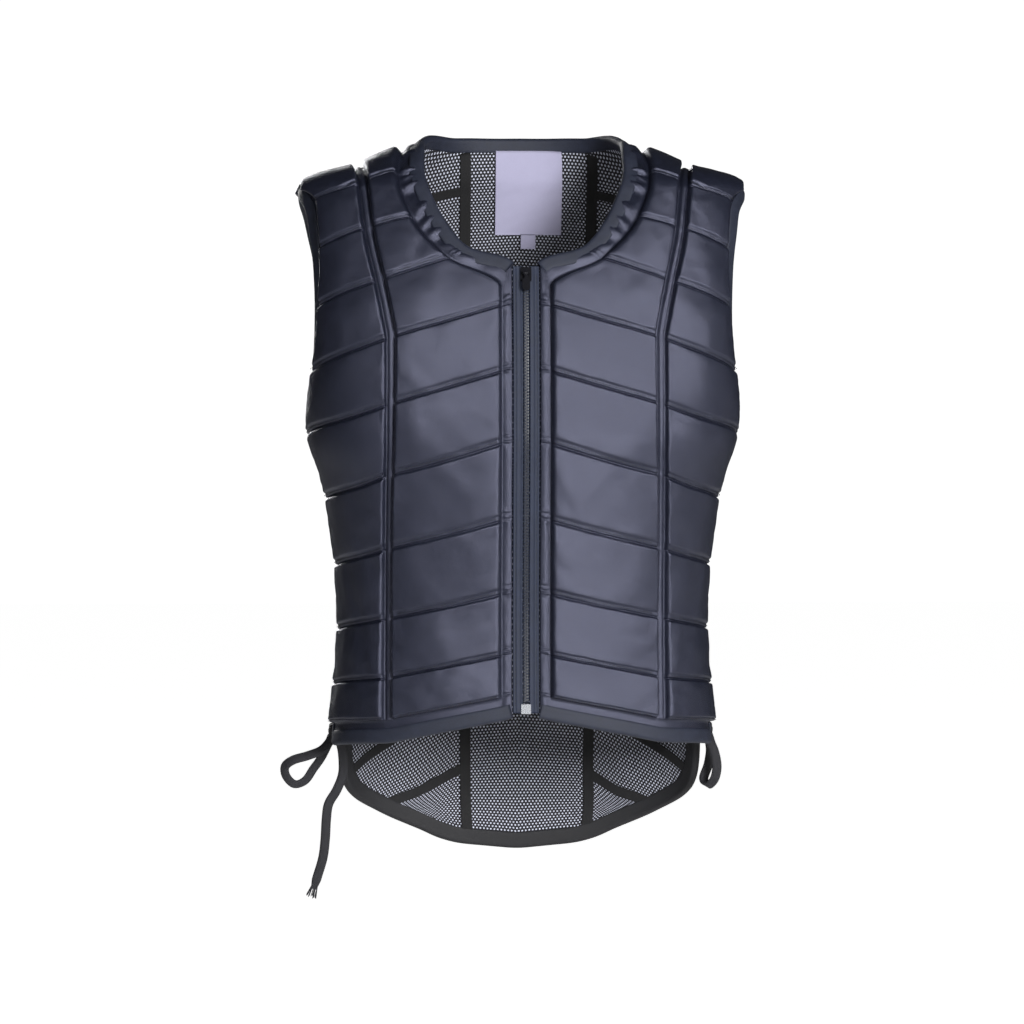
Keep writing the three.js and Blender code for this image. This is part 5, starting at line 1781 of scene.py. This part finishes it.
@dataclass
class BackInside:
    """Net lining, seam tapes and the blank label inside the back."""

    back: BackPanel
    net_inset: float = 3.5
    net_depth: float = 0.9
    net_thickness: float = 0.5
    column_tape: tuple[float, float, float] = (4.7, -2.0, -1.15)
    row_tape: tuple[float, float, float] = (4.2, -1.9, -1.1)
    tape_inset: float = 7.0
    label_drop: float = 7.0
    label_length: float = 71.0
    label_band: tuple[float, float, float] = (29.0, -3.2, -2.5)
    tab_length: float = 13.0
    tab_band: tuple[float, float, float] = (6.5, -3.7, -3.1)

    def lining(self, finishes: Finishes) -> None:
        """The net, a thin layer over the whole inside.

        Args:
            finishes: the vest's materials.
        """
        v = np.concatenate([np.linspace(0.05, 0.3, 4), np.linspace(0.4, 11.0, 120), [11.2, 11.4, 11.6, 11.75]])
        centre, gutter, neck, side = self.back.lines(v)
        edge = moved(side, neck, self.net_inset)
        stops = [centre, gutter, neck, edge]
        columns = []
        for a, b, n in zip(stops, stops[1:], (14, 14, 16)):
            t = np.linspace(0, 1, n, endpoint=False)[None, :, None]
            columns.append(a[:, None] + (b - a)[:, None] * t)
        half = TORSO_FORM.settle(np.concatenate([*columns, edge[:, None]], 1))
        whole = np.concatenate([half[:, :0:-1] * MIRROR, half], 1)
        normal = TORSO_FORM.normals(whole)
        thick = np.full(whole.shape[:2], self.net_thickness) + 0.12 * ripples(whole, 61, 30)
        panel = Panel(whole - normal * self.net_depth, thick, normal, v)
        obj = shell_mesh(panel, 0).build("lining")
        dress(obj, "mesh", ["back_lining"], finishes.mesh)
        LOG.info("made %s", obj.name)

    def tape(self, side: Side, finishes: Finishes) -> None:
        """A column tape and a tape along each row's seam.

        Args:
            side: which half they lie on. Both columns sit a little to the wearer's left, as the label does.
            finishes: the vest's materials.
        """
        maker = MeshMaker()
        centre, gutter, neck, _ = self.back.lines(np.linspace(0.22, 11.4, 260))
        seam = moved(gutter, neck if side is Side.LEFT else centre, LINING_SHIFT)
        maker.closed(Sweep(evenly(seam, 3.0, 4), (1, 0, 0), band_section(*self.column_tape)).grid())
        for r in range(1, self.back.tile_rows):
            centre, gutter, neck, edge = self.back.lines(np.array([float(r)]))
            start = moved(gutter, neck if side is Side.LEFT else centre, LINING_SHIFT)
            end = moved(edge, neck, self.tape_inset)
            line = TORSO_FORM.settle(evenly(np.concatenate([start, neck, end]), 3.0))
            maker.closed(Sweep(line, (0, 0, 1), band_section(*self.row_tape)).grid())
        obj = maker.build(f"seam_tape_{side.name.lower()}", side)
        dress(obj, "seam_tape", [f"lining_tape_{side.name.lower()}"], finishes.tape)
        LOG.info("made %s", obj.name)

    def label(self, finishes: Finishes) -> None:
        """The blank label with its tab.

        Args:
            finishes: the vest's materials.
        """
        top = float(self.back.centre.at(np.array([0.0]))[0, 2]) - self.label_drop
        foot = top - self.label_length
        maker = MeshMaker()
        for z, band, rough in (
            (np.linspace(top, foot, 30), self.label_band, 0.35),
            (np.linspace(foot + 1, foot + 1 - self.tab_length, 8), self.tab_band, 0.2),
        ):
            run = TORSO_FORM.across(np.full(len(z), LINING_SHIFT), z, Facing.BACK)
            maker.closed(Sweep(run, (1, 0, 0), band_section(*band), 0, 63, rough).grid())
        dress(maker.build("label"), "label", ["neck_label"], finishes.label)
        LOG.info("made label")

    def build(self, finishes: Finishes) -> None:
        """Makes all three.

        Args:
            finishes: the vest's materials.
        """
        self.lining(finishes)
        for side in Side:
            self.tape(side, finishes)
        self.label(finishes)


@dataclass
class Zip:
    """Tapes and teeth; the slider, pull and end box are the part's own."""

    top: float = -79.4
    bottom: float = -446.7
    tape_middle: float = 6.75
    tape_half: float = 4.15
    tape_low: float = 0.9
    tape_high: float = 2.15
    tape_ribs: tuple[tuple[float, float], ...] = ((-3.2, 0.5), (0.6, 0.55), (3.2, 0.35))
    teeth_from: float = -93.0
    teeth_to: float = -438.0
    tooth_pitch: float = 1.25
    tooth_length: float = 2.1
    tooth_radius: float = 0.55
    tooth_height: float = 1.5
    tooth_shift: float = 1.3
    core_band: tuple[float, float, float] = (2.3, 0.3, 1.15)
    stitch_lines: tuple[tuple[float, float], ...] = ((13.6, 3.4), (8.6, 2.25))
    stitch_pitch: float = 3.4

    def tapes(self, finishes: Finishes) -> None:
        """Makes both tapes.

        Args:
            finishes: the vest's materials.
        """
        z = np.linspace(self.top, self.bottom, 170)
        run = TORSO_FORM.across(np.full(len(z), self.tape_middle), z, Facing.FRONT)
        section = band_section(self.tape_half, self.tape_low, self.tape_high, self.tape_ribs)
        for side in Side:
            name = f"zip_tape_{side.name.lower()}"
            maker = MeshMaker()
            maker.closed(Sweep(run, (1, 0, 0), section, 0, 71, 0.05).grid())
            dress(maker.build(name, side), "zip_cloth", [name], finishes.zip_cloth)
            LOG.info("made %s", name)

    def teeth(self, finishes: Finishes) -> None:
        """Makes the teeth and the dark core behind them.

        Args:
            finishes: the vest's materials.
        """
        z = np.arange(self.teeth_from, self.teeth_to, -self.tooth_pitch)
        turn = np.where(np.arange(len(z)) % 2, 1.0, -1.0)
        spots = TORSO_FORM.across(np.zeros(len(z)), z, Facing.FRONT)
        normal = TORSO_FORM.normals(spots)
        spots = spots + normal * self.tooth_height + np.array([self.tooth_shift, 0, 0]) * turn[:, None]
        row = Stitches(spots, np.repeat([[1.0, 0, 0]], len(z), 0), normal)
        shape = capsule(self.tooth_length, self.tooth_radius, 1.2)
        obj = repeated("zip_teeth", shape, [row], finishes.zip_cloth, 3)
        dress(obj, "zip_plastic", ["zip_chain"])
        z = np.linspace(self.teeth_from + 0.5, self.teeth_to - 0.5, 160)
        run = TORSO_FORM.across(np.zeros(len(z)), z, Facing.FRONT)
        maker = MeshMaker()
        maker.closed(Sweep(run, (1, 0, 0), band_section(*self.core_band)).grid())
        dress(maker.build("zip_core"), "zip_plastic", ["zip_chain"], finishes.zip_plastic)
        LOG.info("made zip_teeth and zip_core")

    def build(self, finishes: Finishes) -> None:
        """Makes the zip's cloth and teeth and finishes its metal.

        Args:
            finishes: the vest's materials.
        """
        self.tapes(finishes)
        self.teeth(finishes)
        metals = {
            "zip_slider": finishes.dark_metal,
            "zip_pull": finishes.dark_metal,
            "zip_end_box": finishes.bright_metal,
        }
        for node, material in metals.items():
            piece = bpy.data.objects[node]
            piece.data.materials.clear()
            piece.data.materials.append(material)
            LOG.info("dressed %s", node)

    def stitches(self) -> list[Stitches]:
        """Rows of stitches down both sides of the zip.

        Returns:
            The stitches of both sides.
        """
        z = np.linspace(-88, -440, 400)
        rows = []
        for x, high in self.stitch_lines:
            line = evenly(TORSO_FORM.across(np.full(len(z), x), z, Facing.FRONT), self.stitch_pitch)
            normal = TORSO_FORM.normals(line)
            row = Stitches(line + normal * high, unit(np.gradient(line, axis=0)), normal)
            rows += [row, row.mirrored()]
        return rows


@dataclass
class Lacing:
    """Side laces, knots and free ends."""

    bindings: Bindings
    knot_shift: tuple[float, float, float] = (5, 0, -20)
    reach: float = 8.0
    pass_height: float = 2.35
    arch: float = 11.0
    knot_core: tuple[float, float, float] = (4.6, 6.0, 7.9)
    knot_turns: tuple[tuple[float, float], ...] = ((0.45, -2.8), (-0.3, 1.2), (0.15, 4.6))
    knot_lace: tuple[float, float] = (5.2, 2.4)
    strands: int = 22
    strand_size: tuple[float, float, float] = (0.75, 0.6, 1.2)

    # Stops of the free ends from the knot: across, back and up
    BOW = [
        (1, -3, -4), (10, -7, -14), (22, -8, -19), (35, -7, -23), (42, -4, -29), (41, 0, -38),
        (34, 3, -45), (25, 5, -42), (18, 5, -32), (11, 4, -22), (5, 4, -10), (2, 3, -3),
    ]
    TUCKED = [
        (1, -3, -3), (3, -7, -10), (6, -9, -18), (8, -9, -30), (6, -7, -41), (1, -1, -47),
        (-2, 6, -42), (2, 9, -31), (4, 9, -19), (3, 6, -10), (1, 3, -3),
    ]
    HANGING = [
        (-2.5, 0, -4), (-6, 1, -12), (-7.5, 3, -24), (-7, 4, -37), (-2, 3, -50), (5, 2, -62),
        (7, 1, -75), (8, 0, -92), (10, 0, -108), (15, 0, -125), (18, 0, -135),
    ]

    def __post_init__(self) -> None:
        """Places the knot below the lowest loops."""
        self.front, self.back = self.bindings.front_loops, self.bindings.back_loops
        self.knot = (self.front[-1].centre + self.back[-1].centre) / 2 + np.array(self.knot_shift)

    def lace(self) -> FlatCord:
        """Up through the loops on alternate sides, over the top and down again.

        Returns:
            The lace.
        """
        last = len(self.front) - 1
        up, down = [], []
        for i in range(last, -1, -1):
            first, second = (self.front, self.back) if (last - i) % 2 == 0 else (self.back, self.front)
            up.append(first[i])
            down.insert(0, second[i])
        stops = up + down
        points, wide = [self.knot + np.array([0, -3, 3.4])], [stops[0].along]
        for k, (stop, after) in enumerate(zip(stops, stops[1:] + [None])):
            rising = k < len(up)
            step = -self.reach if rising else self.reach
            points += [stop.centre - stop.down * step, stop.centre, stop.centre + stop.down * step]
            wide += [stop.along] * 3
            if after is None:
                break
            if k == len(up) - 1:
                middle = (stop.centre + after.centre) / 2 + stop.out
                points += [(end + middle) / 2 - stop.down * self.arch for end in (stop.centre, after.centre)]
                wide += [np.array([0, 0, 1.0])] * 2
                continue
            a, b = stop.centre + stop.down * step, after.centre - after.down * step
            height = -self.pass_height if rising else self.pass_height
            points += [a + (b - a) * t + stop.out * height for t in (0.4, 0.6)]
            wide += [unit(np.cross(unit(b - a), stop.out))] * 2
        points.append(self.knot + np.array([0, 3, 3.4]))
        wide.append(stops[-1].along)
        return FlatCord(np.array(points), self.untwisted(np.array(wide)))

    @staticmethod
    def untwisted(wide: np.ndarray) -> np.ndarray:
        """Directions turned about wherever one points against the last.

        Args:
            wide: directions along a lace.

        Returns:
            The directions.
        """
        for k in range(1, len(wide)):
            if wide[k] @ wide[k - 1] < 0:
                wide[k] = -wide[k]
        return wide

    def knot_grids(self) -> list[np.ndarray]:
        """A core and three turns of lace round it.

        Returns:
            The points of each.
        """
        up = np.linspace(0.04, np.pi - 0.04, 16)[:, None]
        turn = np.linspace(0, 2 * np.pi, 24, endpoint=False)
        wide, deep, tall = self.knot_core
        around = [np.sin(up) * np.cos(turn) * wide, np.sin(up) * np.sin(turn) * deep]
        grids = [np.stack([*around, np.cos(up) * tall + 0 * turn], -1) + self.knot]
        spin = np.linspace(0, 2 * np.pi, 41)
        for tilt, height in self.knot_turns:
            size = math.sqrt(max(1 - (height / 8.6) ** 2, 0.1))
            ring = [np.cos(spin) * 4.0 * size, np.sin(spin) * 5.4 * size, height + np.sin(spin) * tilt * 5]
            faces = np.repeat([[0.0, 0.2 * tilt, 1.0]], len(spin), 0)
            grids.append(FlatCord(np.stack(ring, 1) + self.knot, faces, *self.knot_lace).grid())
        return grids

    def fray(self, maker: MeshMaker, cord: FlatCord) -> None:
        """Adds loose strands to a cord's end.

        Args:
            maker: takes the strands.
            cord: the cord.
        """
        rng = np.random.default_rng(9)
        tip, way, across = cord.line[-4], cord.along[-4], cord.across[-4]
        thin = np.cross(way, across)
        s = np.linspace(0, 1, 9)[:, None]
        for _ in range(self.strands):
            a, b, reach = rng.uniform(-2.6, 2.6), rng.uniform(-1.1, 1.1), rng.uniform(9, 13)
            spread = across * (a + s * (a * 0.7 + rng.uniform(-1, 1))) + thin * (b + s * rng.uniform(-1.6, 1.6))
            strand = tip + way * s * reach + spread
            maker.closed(FlatCord(strand, np.repeat([across], 9, 0), *self.strand_size).grid(3))

    def free(
        self,
        name: str,
        layout: Sequence[tuple[float, float, float]],
        lean: tuple[float, float, float],
        side: Side,
        far_end: str,
        material: bpy.types.Material,
    ) -> None:
        """A free end below a knot.

        Args:
            name: the object's name, which is also its CAD node's.
            layout: its stops from the knot.
            lean: added to the direction that its wide side faces.
            side: which half it lies on.
            far_end: knot or bare.
            material: its material.
        """
        points = self.knot + np.array(layout, float)
        face = np.cross(unit(np.gradient(points, axis=0)), [0.0, 1.0, 0.0])
        cord = FlatCord(points, self.untwisted(face) + np.array(lean) * 0.5)
        maker = MeshMaker()
        frayed = far_end == "bare"
        maker.closed(cord.grid(6 if frayed else 0))
        line = cord.line
        if frayed:
            self.fray(maker, cord)
            way = cord.along[-4]
            line = np.concatenate([line, [line[-1] + way * 3, line[-1] + way * 6]])
        obj = maker.build(name, side)
        dress(obj, "braid", [name], material)
        cord.width * MM

    def build(self, finishes: Finishes) -> None:
        """Makes the laces, knots and free ends.

        Args:
            finishes: the vest's materials.
        """
        pieces = {"lace": ("side_lace", [self.lace().grid()]), "knot": ("lace_knot", self.knot_grids())}
        for side in Side:
            for piece, (node, grids) in pieces.items():
                maker = MeshMaker()
                for grid in grids:
                    maker.closed(grid)
                name = side.name.lower()
                dress(maker.build(f"{piece}_{name}", side), "braid", [f"{node}_{name}"], finishes.braid)
                LOG.info("made %s_%s", piece, name)
        self.free("lace_loop_right", self.BOW, (0.25, 1, 0.1), Side.RIGHT, "knot", finishes.braid)
        self.free("lace_loop_left", self.TUCKED, (1, 0.3, 0), Side.LEFT, "knot", finishes.braid)
        self.free("lace_end_right", self.HANGING, (1, -0.5, 0.2), Side.RIGHT, "bare", finishes.braid)


def main() -> None:
    """Builds the scene's classes in order."""
    logging.basicConfig(level=logging.INFO, format="%(message)s")
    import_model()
    Studio().build()
    finishes = Finishes()
    front, back = FrontPanels(), BackPanel()
    bindings, zipper = Bindings(front, back), Zip()
    for piece in (Lacing(bindings), front, back, bindings, BackInside(back), zipper):
        piece.build(finishes)
    for name, length, radius, rows, seed in (
        ("stitching", 2.3, 0.24, bindings.stitches() + zipper.stitches(), 5),
        ("seam_stitching", 2.0, 0.3, front.stitches() + back.stitches(), 6),
    ):
        obj = repeated(name, capsule(length, radius), rows, finishes.thread, seed)
        dress(obj, "edging", [])
        LOG.info("made %s", name)


if __name__ == "__main__":
    main()
